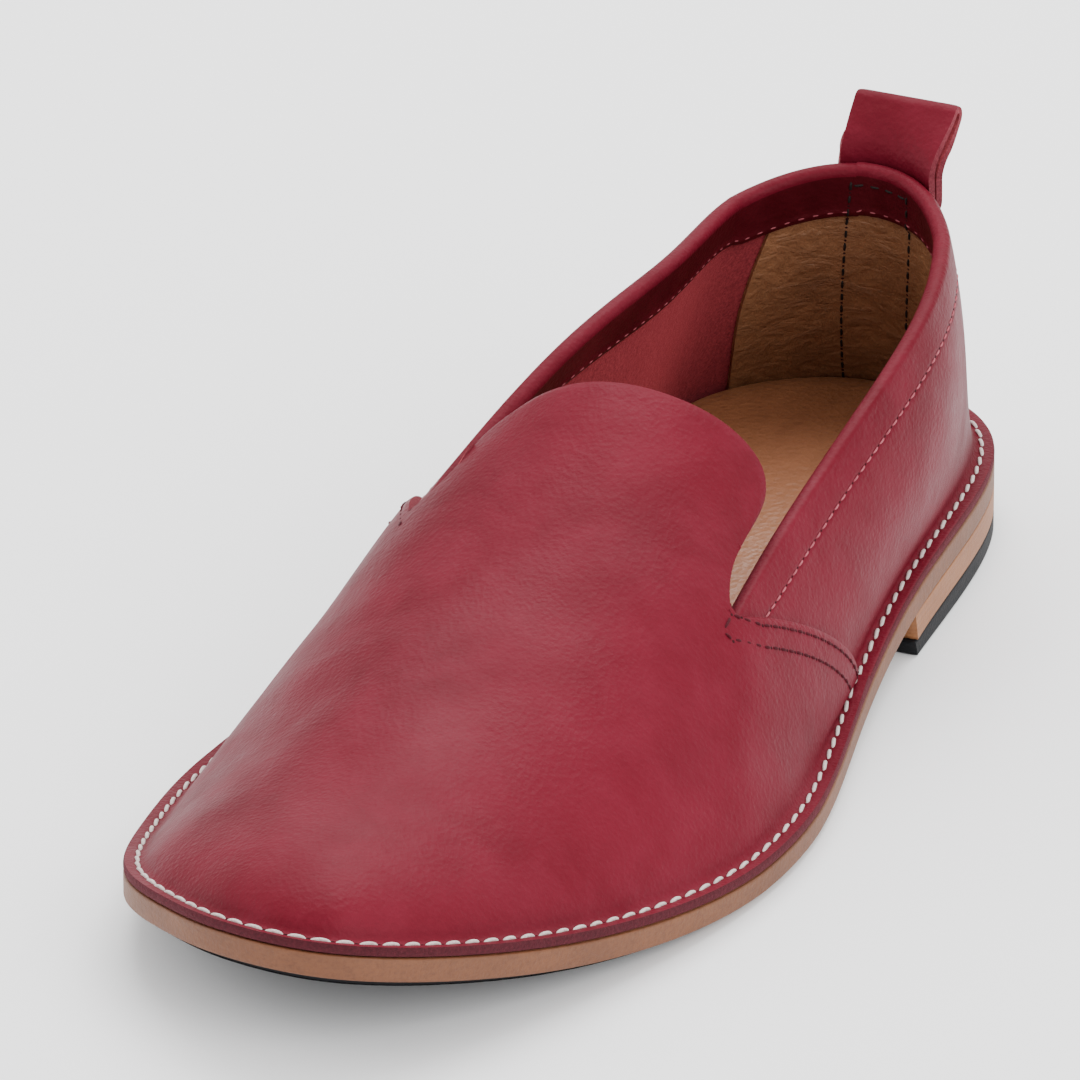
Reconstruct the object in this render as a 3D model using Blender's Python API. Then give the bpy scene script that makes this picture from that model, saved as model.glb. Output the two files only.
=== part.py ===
"""Slip-on shoe, left, of a pair: a plain vamp lapped over two quarters, the upper turned
outwards and stitched down to a leather outsole, with a low stacked heel.
Metres, +Z up. The toe points to -Y and the outer side is +X. Z 0 is the floor."""

import bpy
import numpy as np

# Sizes of the whole shoe
LENGTH = 0.302  # over the sole
BALL_WIDTH = 0.118  # over the sole at the ball
HEEL_HEIGHT = 0.0150  # floor to the top of the outsole at the heel
TOE_SPRING = 0.0190  # floor to the underside of the outsole at the toe
COLLAR_HEIGHT = 0.058  # feather line to the collar at the back
INSTEP_HEIGHT = 0.064  # feather line to the vamp at its lobe

# Leathers and the ways they meet
UPPER_LEATHER = 0.0020  # one layer of the upper
FLANGE_WIDTH = 0.0042  # feather line to the edge of the turned-out upper
FILLET = 0.0014  # radius of the bend at the feather line
LAP_RUN = 0.030  # length over which the lapped vamp comes down to the last
INSOLE_THICK = 0.0030
HEEL_PAD = 0.0025  # more of it under the heel, easing to none over PAD_LENGTH
PAD_LENGTH = 0.125
WALL_LEAN = 0.8  # most that the vamp's inner face leans in, per unit of height, beside the insole
HEEL_LEAN = 0.5  # the same round the heel
OUTSOLE_THICK = 0.0050
LIFT_THICK = 0.0056
TREAD_THICK = 0.0010
TREAD_INSET = 0.0030
TREAD_START = 0.012  # ahead of the heel's breast
GAP = 0.0003  # between pieces that meet

# Heel
HEEL_LENGTH = 0.087  # heel back to breast
BREAST_SLOPE = 0.0035  # how far forward the breast stands at the outsole
EDGE_ROUND = 0.0005

# Strip up the back that folds over into the pull loop
STRIP_WIDTH = 0.022
STRIP_LEATHER = 0.0016
LOOP_LENGTH = 0.0110  # along the loop above the collar
LOOP_LEAN = 42.0  # degrees back from upright
LOOP_OPEN = 0.0016  # clear space between its two layers
TUCK = 0.0070  # how far its front end runs down inside the strip
STRIP_FOOT = 0.0026  # from the feather line up to the strip's lower end
STRIP_GAP = 0.0005  # between the strip and the upper
STRIP_FOOT_SIDE = -0.0015  # from the heel line outwards to the strip's middle at its foot
STRIP_TOP_SIDE = 0.0075  # the same at the collar

HEEL_CENTRE = 0.139  # share of the length from heel back to the origin
HEEL_AXIS = -0.022  # share of the ball width from the table's axis to the origin

# Plan of the sole: share of the length from the heel back, share of the ball width
OUTLINE = (
    ("heel back", 0.002, 0.000),
    ("heel round outer", 0.044, 0.208),
    ("heel side outer", 0.149, 0.308),
    ("waist outer", 0.298, 0.353),
    ("joint outer", 0.441, 0.415),
    ("ball outer", 0.574, 0.487),
    ("little toe", 0.695, 0.481),
    ("toes outer", 0.809, 0.407),
    ("toe side outer", 0.914, 0.298),
    ("toe front outer", 0.998, 0.117),
    ("toe front inner", 0.993, -0.085),
    ("toe corner inner", 0.965, -0.203),
    ("big toe", 0.909, -0.347),
    ("big toe joint", 0.796, -0.459),
    ("ball inner", 0.675, -0.508),
    ("joint inner", 0.536, -0.460),
    ("waist inner", 0.396, -0.335),
    ("arch", 0.248, -0.297),
    ("heel side inner", 0.131, -0.352),
    ("heel round inner", 0.037, -0.227),
)

# Underside of the outsole: share of the length, share of what the heel raises, share of the toe spring,
# and its thickness as a share of OUTSOLE_THICK
STATIONS = (
    ("heel back", 0.00, 1.00, 0.00, 1.04),
    ("heel", 0.14, 1.05, 0.00, 1.02),
    ("breast", 0.27, 0.99, 0.00, 1.00),
    ("waist", 0.37, 0.62, 0.00, 0.94),
    ("tread rear", 0.46, 0.22, 0.00, 0.90),
    ("ball rear", 0.55, 0.02, 0.00, 0.88),
    ("ball", 0.66, 0.00, 0.00, 0.88),
    ("tread front", 0.74, 0.00, 0.085, 0.92),
    ("toes", 0.85, 0.00, 0.36, 0.98),
    ("toe", 1.00, 0.00, 1.00, 1.00),
)

# Last: share of the length, height of its crown over the feather line as a share of the instep
# height, side shift of the crown as a share of the ball width, roundness in plan and in height
LAST = (
    ("heel back", 0.00, 1.45, 0.010, 2.2, 2.20),
    ("heel", 0.15, 1.38, 0.025, 2.2, 1.90),
    ("waist", 0.30, 1.25, -0.020, 2.2, 1.45),
    ("instep", 0.43, 1.07, -0.025, 2.2, 1.20),
    ("joint", 0.55, 0.86, 0.010, 2.2, 1.20),
    ("ball", 0.66, 0.665, 0.015, 2.2, 1.40),
    ("toes", 0.78, 0.490, -0.020, 2.1, 1.45),
    ("toe cap", 0.88, 0.395, -0.055, 2.1, 1.50),
    ("toe", 1.00, 0.410, -0.065, 2.1, 1.75),
)

# How far the wall swells out of the last at mid height, by share of the way round the outline
# from the heel back over the outer side, as a share of the upper's instep height
SWELL = (
    ("heel back", 0.000, -0.210),
    ("outer heel", 0.125, 0.150),
    ("outer waist", 0.250, 0.010),
    ("outer ball", 0.375, -0.035),
    ("toe", 0.500, -0.065),
    ("inner ball", 0.625, -0.140),
    ("inner waist", 0.750, 0.130),
    ("inner heel", 0.875, -0.065),
)

# Collar: share of the length, negative on the inner side, and height over the feather line as a
# share of the height at the back
COLLAR = (
    ("inner notch", -0.548, 0.70),
    ("inner instep", -0.364, 0.895),
    ("inner waist", -0.232, 0.91),
    ("inner heel", -0.100, 0.95),
    ("back", 0.000, 1.01),
    ("outer heel", 0.100, 0.97),
    ("outer waist", 0.232, 0.865),
    ("outer instep", 0.364, 0.74),
    ("outer notch", 0.553, 0.57),
)

# Back edge of the vamp over the instep, from the outer notch to the inner one, in plan
LOBE = (
    ("outer notch", 0.553, 0.305),
    ("outer notch foot", 0.551, 0.293),
    ("outer turn", 0.524, 0.269),
    ("outer side", 0.476, 0.251),
    ("outer shoulder", 0.446, 0.216),
    ("tip outer", 0.457, 0.112),
    ("tip inner", 0.468, -0.008),
    ("inner shoulder", 0.475, -0.115),
    ("inner side", 0.488, -0.178),
    ("inner turn", 0.522, -0.196),
    ("inner notch foot", 0.550, -0.228),
    ("inner notch", 0.548, -0.285),
)
SEAM_OUTER = 0.412  # share of the length where the vamp's raw edge meets the feather line
SEAM_INNER = 0.412
THROAT_RISE = 0.055  # how far ahead of the notches the vamp's columns turn back towards the lobe
SEAM_BOW = 0.0050  # how far forward the middle of each side seam bows
SEAM_BOW_RUN = 0.025  # distance over which the walls beside it follow

QUARTER_COLUMNS = 22
VAMP_COLUMNS = 58
WALL_ROWS = 13
STRIP_ACROSS = 7
STRIP_ROWS = 14
STATION_COUNT = 44
ACROSS = 6


def column(table, number):
    return np.array([row[number] for row in table], float)


def smooth(x, y, at, period=None):
    """Cubic spline through the rows, closed when a period is given, free-ended otherwise."""
    x = np.asarray(x, float)
    y = np.asarray(y, float)
    flat = y.ndim == 1
    y = y.reshape(len(y), -1)
    if period is not None:
        x = np.append(x, x[0] + period)
        y = np.vstack([y, y[:1]])
    step = np.diff(x)
    slope = np.diff(y, axis=0) / step[:, None]
    count = len(x)
    system = np.zeros((count, count))
    right = np.zeros((count, y.shape[1]))
    for i in range(1, count - 1):
        system[i, i - 1 : i + 2] = step[i - 1], 2 * (step[i - 1] + step[i]), step[i]
        right[i] = 6 * (slope[i] - slope[i - 1])
    if period is None:
        system[0, 0] = 1
        system[-1, -1] = 1
    else:
        system[0, 0] = 1
        system[0, -1] = -1
        system[-1, [0, 1]] = 2 * step[0], step[0]
        system[-1, [-1, -2]] = 2 * step[-1], step[-1]
        right[-1] = 6 * (slope[0] - slope[-1])
    bend = np.linalg.solve(system, right)
    at = np.asarray(at, float)
    if period is not None:
        at = x[0] + np.mod(at - x[0], period)
    i = np.clip(np.searchsorted(x, at, side="right") - 1, 0, count - 2)
    d = (at - x[i])[..., None]
    h = step[i][..., None]
    first = slope[i] - h * (2 * bend[i] + bend[i + 1]) / 6
    out = y[i] + d * first + d * d * bend[i] / 2 + d**3 * (bend[i + 1] - bend[i]) / (6 * h)
    return out[..., 0] if flat else out


def unit(v):
    return v / np.maximum(np.linalg.norm(v, axis=-1, keepdims=True), 1e-12)


def make_ring(inset, count=1200):
    """Closed plan curve of the sole's edge moved inwards, evenly spaced from the heel back."""
    rows = np.stack([column(OUTLINE, 1) * LENGTH, column(OUTLINE, 2) * BALL_WIDTH], 1)
    chord = np.linalg.norm(np.roll(rows, -1, 0) - rows, axis=1) ** 0.5
    knots = np.concatenate([[0.0], np.cumsum(chord)])
    fine = np.linspace(0, knots[-1], 4 * count, endpoint=False)
    line = smooth(knots[:-1], rows, fine, period=knots[-1])
    tangent = unit(np.roll(line, -1, 0) - np.roll(line, 1, 0))
    line = line + inset * np.stack([tangent[:, 1], -tangent[:, 0]], 1)
    span = np.concatenate([[0.0], np.cumsum(np.linalg.norm(np.diff(line, axis=0), axis=1))])
    total = span[-1] + np.linalg.norm(line[0] - line[-1])
    even = np.linspace(0, total, count, endpoint=False)
    return np.stack([np.interp(even, span, line[:, k], period=total) for k in (0, 1)], 1)


def on_ring(ring, share):
    places = np.arange(len(ring)) / len(ring)
    return np.stack([np.interp(np.mod(share, 1), places, ring[:, k], period=1) for k in (0, 1)], -1)


def ring_normal(ring):
    """Outward direction in plan at every point of a ring."""
    tangent = unit(np.roll(ring, -1, 0) - np.roll(ring, 1, 0))
    return np.stack([-tangent[:, 1], tangent[:, 0]], 1)


def sole_under(t):
    """Height of the outsole's underside at a distance from the heel back."""
    raised = HEEL_HEIGHT - OUTSOLE_THICK * STATIONS[0][4]
    rest = column(STATIONS, 2) * (raised - TREAD_THICK - GAP) + column(STATIONS, 3) * TOE_SPRING
    return np.maximum(smooth(column(STATIONS, 1) * LENGTH, rest, t), 0.0) + TREAD_THICK + GAP


def sole_top(t):
    thick = smooth(column(STATIONS, 1) * LENGTH, column(STATIONS, 4) * OUTSOLE_THICK, t)
    return sole_under(t) + thick


def insole_thick(t):
    rear = np.clip(1 - t / PAD_LENGTH, 0, 1)
    return INSOLE_THICK + HEEL_PAD * rear * rear * (3 - 2 * rear)


def feather_z(t):
    """Height of the turned-out flange's top face, where the wall starts."""
    return sole_top(t) + GAP + UPPER_LEATHER


FEATHER = make_ring(FLANGE_WIDTH)
FEATHER_OUT = ring_normal(FEATHER)
HEEL_FAN = 0.140 * LENGTH
TOE_FAN = 0.700 * LENGTH


def crown(t):
    return smooth(column(LAST, 1) * LENGTH, column(LAST, 3) * BALL_WIDTH, t)


def side_of(sign):
    """Rows of the feather line on one side of the crown, in order of distance from the heel."""
    t, x = FEATHER.T
    keep = np.where((x - crown(t)) * sign > 0)[0]
    keep = keep[np.argsort(t[keep])]
    share = keep / len(FEATHER)
    if sign > 0:
        share = np.where(share > 0.6, share - 1, share)
    else:
        share = np.where(share < 0.4, share + 1, share)
    return t[keep], x[keep], share


SIDES = {1: side_of(1), -1: side_of(-1)}


def fan_of(centre_t, towards):
    """Feather line round one end of the last as angle, radius and share."""
    centre = np.array([centre_t, crown(np.array([centre_t]))[0]])
    away = FEATHER - centre
    keep = np.where(away[:, 0] * towards > -0.008)[0]
    angle = np.arctan2(away[keep, 1], away[keep, 0] * towards)
    order = np.argsort(angle)
    share = keep[order] / len(FEATHER)
    if towards < 0:
        share = np.where(share > 0.5, share - 1, share)
    return centre, angle[order], np.linalg.norm(away[keep], axis=1)[order], share


FANS = ((HEEL_FAN, -1, fan_of(HEEL_FAN, -1)), (TOE_FAN, 1, fan_of(TOE_FAN, 1)))


def spread(plan):
    """Share of the way from the crown to the feather line, and the foot's share round it."""
    t, x = plan[..., 0], plan[..., 1]
    middle = crown(np.clip(t, HEEL_FAN, TOE_FAN))
    out = np.zeros_like(t)
    foot = np.zeros_like(t)
    for sign, (along, across, share) in SIDES.items():
        here = (x >= middle) if sign > 0 else (x < middle)
        half = np.abs(np.interp(t, along, across) - middle)
        out = np.where(here, np.abs(x - middle) / np.maximum(half, 1e-6), out)
        foot = np.where(here, np.interp(t, along, share), foot)
    for end, towards, (centre, angle, radius, share) in FANS:
        here = (t - end) * towards > 0
        away = plan - centre
        turn = np.arctan2(away[..., 1], away[..., 0] * towards)
        out = np.where(here, np.linalg.norm(away, axis=-1) / np.interp(turn, angle, radius), out)
        foot = np.where(here, np.interp(turn, angle, share), foot)
    return out, np.mod(foot, 1)


def last_height(t, out):
    rows = column(LAST, 1) * LENGTH
    plan_round = smooth(rows, column(LAST, 4), t)
    side_round = smooth(rows, column(LAST, 5), t)
    full = smooth(rows, column(LAST, 2) * INSTEP_HEIGHT, t)
    return full * (1 - np.clip(out, 0, 1) ** plan_round) ** (1 / side_round)


def last_point(plan):
    """Point of the last over a plan point: (t, x, z)."""
    out, foot = spread(plan)
    t = plan[..., 0]
    rise = last_height(t, out)
    share = rise / INSTEP_HEIGHT
    swell = smooth(column(SWELL, 1), column(SWELL, 2) * INSTEP_HEIGHT, foot, period=1.0)
    swell = swell * share * np.exp(1 - share) * out * out * (3 - 2 * out)
    push = on_ring(FEATHER_OUT, foot) * swell[..., None]
    return np.concatenate([plan + push, (feather_z(t) + rise)[..., None]], -1)


def ray_plan(foot, rise):
    """Plan point of the last on the ray of a foot where the last is that high."""
    start = on_ring(FEATHER, foot)
    middle = np.clip(start[:, 0], HEEL_FAN, TOE_FAN)
    centre = np.stack([middle, crown(middle)], 1)
    rows = column(LAST, 1) * LENGTH
    t = start[:, 0]
    for _ in range(5):
        full = smooth(rows, column(LAST, 2) * INSTEP_HEIGHT, t)
        high = np.clip(rise / full, 0, 1) ** smooth(rows, column(LAST, 5), t)
        plan = centre + (start - centre) * ((1 - high) ** (1 / smooth(rows, column(LAST, 4), t)))[:, None]
        t = plan[:, 0]
    return plan


def collar_rise(signed_t):
    return smooth(column(COLLAR, 1) * LENGTH, column(COLLAR, 2) * COLLAR_HEIGHT, signed_t)


def side_share(sign, t):
    along, _, share = SIDES[sign]
    return np.interp(t, along, share)


def opening():
    """Feet round the feather line and, for each, the plan points of its turn and of the opening,
    and how far the wall between bows forward with the side seam."""
    outer_foot = side_share(1, SEAM_OUTER * LENGTH)
    inner_foot = side_share(-1, SEAM_INNER * LENGTH)
    outer_end = side_share(1, COLLAR[-1][1] * LENGTH)
    inner_end = side_share(-1, -COLLAR[0][1] * LENGTH)
    step = np.linspace(0, 1, QUARTER_COLUMNS)
    outer_above = outer_end * step
    inner_above = 1 + (inner_end - 1) * step[::-1]
    outer_t = on_ring(FEATHER, outer_above)[:, 0]
    inner_t = on_ring(FEATHER, inner_above)[:, 0]
    outer_top = ray_plan(outer_above, collar_rise(outer_t))
    inner_top = ray_plan(inner_above, collar_rise(-inner_t))
    rows = np.stack([column(LOBE, 1) * LENGTH, column(LOBE, 2) * BALL_WIDTH], 1)
    rows[0] = outer_top[-1]
    rows[-1] = inner_top[0]
    chord = np.linalg.norm(np.diff(rows, axis=0), axis=1) ** 0.5
    knots = np.concatenate([[0.0], np.cumsum(chord)])
    fine = smooth(knots, rows, np.linspace(0, knots[-1], 600))
    span = np.concatenate([[0.0], np.cumsum(np.linalg.norm(np.diff(fine, axis=0), axis=1))])
    even = np.linspace(0, 1, VAMP_COLUMNS)
    top = np.stack([np.interp(even * span[-1], span, fine[:, k]) for k in (0, 1)], 1)
    outer_feet = outer_foot * step
    inner_feet = 1 + (inner_foot - 1) * step[::-1]
    feet = np.concatenate([outer_feet, outer_foot + (inner_foot - outer_foot) * even, inner_feet])
    throat = rows[0] + (rows[-1] - rows[0]) * even[:, None]
    throat[:, 0] += THROAT_RISE * LENGTH * np.sin(np.pi * even)
    outer_turn = 0.5 * (on_ring(FEATHER, outer_feet) + outer_top)
    inner_turn = 0.5 * (on_ring(FEATHER, inner_feet) + inner_top)
    turns = np.vstack([outer_turn, throat, inner_turn])
    girth = np.linalg.norm(np.roll(FEATHER, -1, 0) - FEATHER, axis=1).sum()
    away = np.minimum(np.abs(feet - outer_foot), np.abs(feet - inner_foot)) * girth
    bow = SEAM_BOW * np.exp(-((away / SEAM_BOW_RUN) ** 2))
    return feet[:-1], turns[:-1], np.vstack([outer_top, top, inner_top])[:-1], bow[:-1]


def wall(feet, turns, tops, rows, bow=0.0):
    """Wall of the last from the feather line by the turns to the opening: columns x rows x (t, x, z)."""
    start = on_ring(FEATHER, feet)
    first = np.linalg.norm(turns - start, axis=1)
    second = np.linalg.norm(tops - turns, axis=1)
    done = (first + second)[:, None] * np.linspace(0, 1, 240) ** 2.6
    low = np.clip(done / np.maximum(first, 1e-9)[:, None], 0, 1)[..., None]
    high = np.clip((done - first[:, None]) / np.maximum(second, 1e-9)[:, None], 0, 1)[..., None]
    plan = start[:, None] + (turns - start)[:, None] * low + (tops - turns)[:, None] * high
    share = done / (first + second)[:, None]
    plan[..., 0] += np.reshape(bow, (-1, 1)) * np.sin(np.pi * share)
    points = last_point(plan)
    span = np.cumsum(np.linalg.norm(np.diff(points, axis=1), axis=2), axis=1)
    span = np.concatenate([np.zeros((len(feet), 1)), span], 1)
    out = np.empty((len(feet), len(rows), 3))
    for i in range(len(feet)):
        for k in range(3):
            out[i, :, k] = np.interp(rows * span[i, -1], span[i], points[i, :, k])
    return out, span[:, -1]


def wall_normal(points):
    """Outward normal of a run of columns."""
    around = np.gradient(points, axis=0)
    up = np.gradient(points, axis=1)
    return unit(np.cross(up, around))


def to_world(points):
    """Table axes to the shoe's: t runs from the heel back towards -Y."""
    out = np.empty_like(points)
    out[..., 0] = points[..., 1] - HEEL_AXIS * BALL_WIDTH
    out[..., 1] = HEEL_CENTRE * LENGTH - points[..., 0]
    out[..., 2] = points[..., 2]
    return out


MATERIALS = {
    "red_leather": ((0.205, 0.018, 0.030, 1), 0.42),
    "tan_leather": ((0.42, 0.19, 0.065, 1), 0.55),
    "insole_leather": ((0.40, 0.22, 0.10, 1), 0.60),
    "black_rubber": ((0.012, 0.013, 0.015, 1), 0.60),
}


def material(name):
    made = bpy.data.materials.get(name)
    if made:
        return made
    made = bpy.data.materials.new(name)
    made.use_nodes = True
    shader = made.node_tree.nodes["Principled BSDF"]
    colour, rough = MATERIALS[name]
    shader.inputs["Base Color"].default_value = colour
    shader.inputs["Roughness"].default_value = rough
    shader.inputs["Metallic"].default_value = 0.0
    made.diffuse_color = colour
    return made


def volume(points, faces):
    total = 0.0
    for face in faces:
        for i in range(1, len(face) - 1):
            total += np.dot(points[face[0]], np.cross(points[face[i]], points[face[i + 1]]))
    return total


def add(name, points, faces, slot, sharp=30.0):
    if volume(points, faces) < 0:
        faces = [face[::-1] for face in faces]
    mesh = bpy.data.meshes.new(name)
    mesh.from_pydata(points.tolist(), [], faces)
    mesh.update()
    mesh.shade_smooth()
    mesh.set_sharp_from_angle(angle=np.radians(sharp))
    mesh.materials.append(material(slot))
    made = bpy.data.objects.new(name, mesh)
    bpy.context.scene.collection.objects.link(made)
    return made


def loft(name, loops, slot, closed=False, sharp=30.0):
    """Body through a row of closed loops of points, with flat ends unless it joins up."""
    count, size = loops.shape[:2]
    points = to_world(loops.reshape(-1, 3))
    faces = []
    for i in range(count if closed else count - 1):
        a = i * size
        b = ((i + 1) % count) * size
        for j in range(size):
            k = (j + 1) % size
            faces.append((a + j, a + k, b + k, b + j))
    if not closed:
        faces.append(tuple(range(size))[::-1])
        faces.append(tuple(range((count - 1) * size, count * size)))
    return add(name, points, faces, slot, sharp)


def edges_at(ring, t):
    """Inner and outer side of a ring at distances from the heel back."""
    middle = np.array([ring[:, 0].argmin(), ring[:, 0].argmax()])
    low, high = sorted(middle)
    one = ring[low : high + 1]
    two = np.vstack([ring[high:], ring[: low + 1]])
    sides = []
    for part in (one, two):
        order = np.argsort(part[:, 0])
        sides.append(np.interp(t, part[order, 0], part[order, 1]))
    return np.minimum(*sides), np.maximum(*sides)


def slab(name, ring, first, last, low, high, slot, count=STATION_COUNT, slope=0.0):
    """Layer of sole between two heights given as functions of the distance from the heel back."""
    ends = max(first, ring[:, 0].min() + 0.00012), min(last, ring[:, 0].max() - 0.00012)
    ease = np.linspace(0, 1, count)
    bend = 0.5 - 0.5 * np.cos(np.pi * ease)
    if first > ring[:, 0].min():
        bend = np.sin(0.5 * np.pi * ease)
    if last < ring[:, 0].max():
        bend = 1 - np.cos(0.5 * np.pi * ease)
    t = ends[0] + (ends[1] - ends[0]) * bend
    inner, outer = edges_at(ring, t)
    r = np.minimum(EDGE_ROUND, 0.25 * (outer - inner))
    across = np.linspace(0, 1, ACROSS)
    bottom, top = low(t), high(t)
    thick = top - bottom
    tilt = slope * (t - ends[0]) / (ends[1] - ends[0]) if slope else np.zeros_like(t)
    loops = []
    for i in range(count):
        flat = inner[i] + r[i] + (outer[i] - inner[i] - 2 * r[i]) * across
        c = min(EDGE_ROUND, 0.3 * thick[i])
        under = [(x, bottom[i], 0.0) for x in flat]
        side = [(outer[i], bottom[i] + c, c / thick[i]), (outer[i], top[i] - c, 1 - c / thick[i])]
        over = [(x, top[i], 1.0) for x in flat[::-1]]
        back = [(inner[i], top[i] - c, 1 - c / thick[i]), (inner[i], bottom[i] + c, c / thick[i])]
        loops.append([(t[i] + tilt[i] * s, x, z) for x, z, s in under + side + over + back])
    return loft(name, np.array(loops), slot, sharp=40.0)


def build_soles():
    edge = make_ring(0.0)
    slab("outsole", edge, -1, 9, sole_under, sole_top, "tan_leather")
    lift_high = lambda t: sole_under(t) - GAP
    lift_low = lambda t: sole_under(t) - GAP - LIFT_THICK
    rubber_high = lambda t: sole_under(t) - 2 * GAP - LIFT_THICK
    floor = lambda t: 0 * t
    lean = BREAST_SLOPE * LIFT_THICK / HEEL_HEIGHT
    slab("heel_lift", edge, -1, HEEL_LENGTH, lift_low, lift_high, "tan_leather", 24, lean)
    slab("heel_top_piece", edge, -1, HEEL_LENGTH, floor, rubber_high, "black_rubber", 24, lean)
    slab(
        "forefoot_tread",
        make_ring(TREAD_INSET),
        HEEL_LENGTH + TREAD_START,
        9,
        lambda t: sole_under(t) - GAP - TREAD_THICK,
        lambda t: sole_under(t) - GAP,
        "black_rubber",
        34,
    )
    room = make_ring(FLANGE_WIDTH + UPPER_LEATHER + GAP)
    rear = np.clip(1 - room[:, 0] / PAD_LENGTH, 0, 1)
    lean = HEEL_LEAN + (WALL_LEAN - HEEL_LEAN) * (1 - rear)
    room = room - ring_normal(room) * (lean * insole_thick(room[:, 0]))[:, None]
    slab(
        "insole",
        room,
        -1,
        9,
        lambda t: sole_top(t) + GAP,
        lambda t: sole_top(t) + GAP + insole_thick(t),
        "insole_leather",
    )


def lap_offset(points):
    """Height of the lapped vamp over the last: one leather at its raw edge, easing to none."""
    first = QUARTER_COLUMNS
    last = QUARTER_COLUMNS + VAMP_COLUMNS - 1
    offset = np.zeros(points.shape[:2])
    for edge in (first, last):
        line = points[edge][None]
        away = np.linalg.norm(points[:, :, None] - line[:, None], axis=3).min(2)
        ease = np.clip(away / LAP_RUN, 0, 1)
        offset = np.maximum(offset, UPPER_LEATHER * (1 - ease * ease * (3 - 2 * ease)))
    offset[:first] = 0
    offset[last + 1 :] = 0
    return offset


def build_upper():
    feet, turns, tops, bow = opening()
    rows = np.linspace(0, 1, WALL_ROWS) ** 1.4
    points, _ = wall(feet, turns, tops, rows, bow)
    first = QUARTER_COLUMNS
    last = QUARTER_COLUMNS + VAMP_COLUMNS
    quarters = np.r_[last : len(feet), 0:first]
    normal = np.empty_like(points)
    normal[quarters] = wall_normal(points[quarters])
    normal[first:last] = wall_normal(points[first:last])
    rise = unit(points[:, -1] - points[:, -2])
    rise = unit(np.roll(rise, 1, 0) + 2 * rise + np.roll(rise, -1, 0))
    normal[first - 1] = normal[first]
    normal[last] = normal[last - 1]
    outside = points + normal * lap_offset(points)[..., None]
    inside = points - normal * UPPER_LEATHER
    out2 = on_ring(FEATHER_OUT, feet)
    base = on_ring(FEATHER, feet)

    def beside(distance, height):
        plan = base + out2 * distance
        return np.concatenate([plan, (feather_z(plan[:, 0]) + height)[:, None]], 1)

    rim_out = outside[:, -1]
    rim_in = inside[:, -1]
    crown_points = 0.5 * (rim_out + rim_in) + rise * 0.0006
    low = UPPER_LEATHER
    loops = [
        beside(FLANGE_WIDTH - 0.0005, -low),
        beside(FLANGE_WIDTH, -low + 0.0006),
        beside(FLANGE_WIDTH, -0.0006),
        beside(FLANGE_WIDTH - 0.0006, 0.0),
        beside(FILLET, 0.0),
        beside(0.30 * FILLET, 0.32 * FILLET),
    ]
    loops += [outside[:, j] for j in range(1, WALL_ROWS)]
    loops += [crown_points]
    loops += [inside[:, j] for j in range(WALL_ROWS - 1, 0, -1)]
    loops += [beside(-UPPER_LEATHER * 0.95, 0.0), beside(-UPPER_LEATHER * 0.55, -low)]
    body = np.stack(loops, 1)
    loft("upper", body, "red_leather", closed=True, sharp=50.0)


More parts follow.
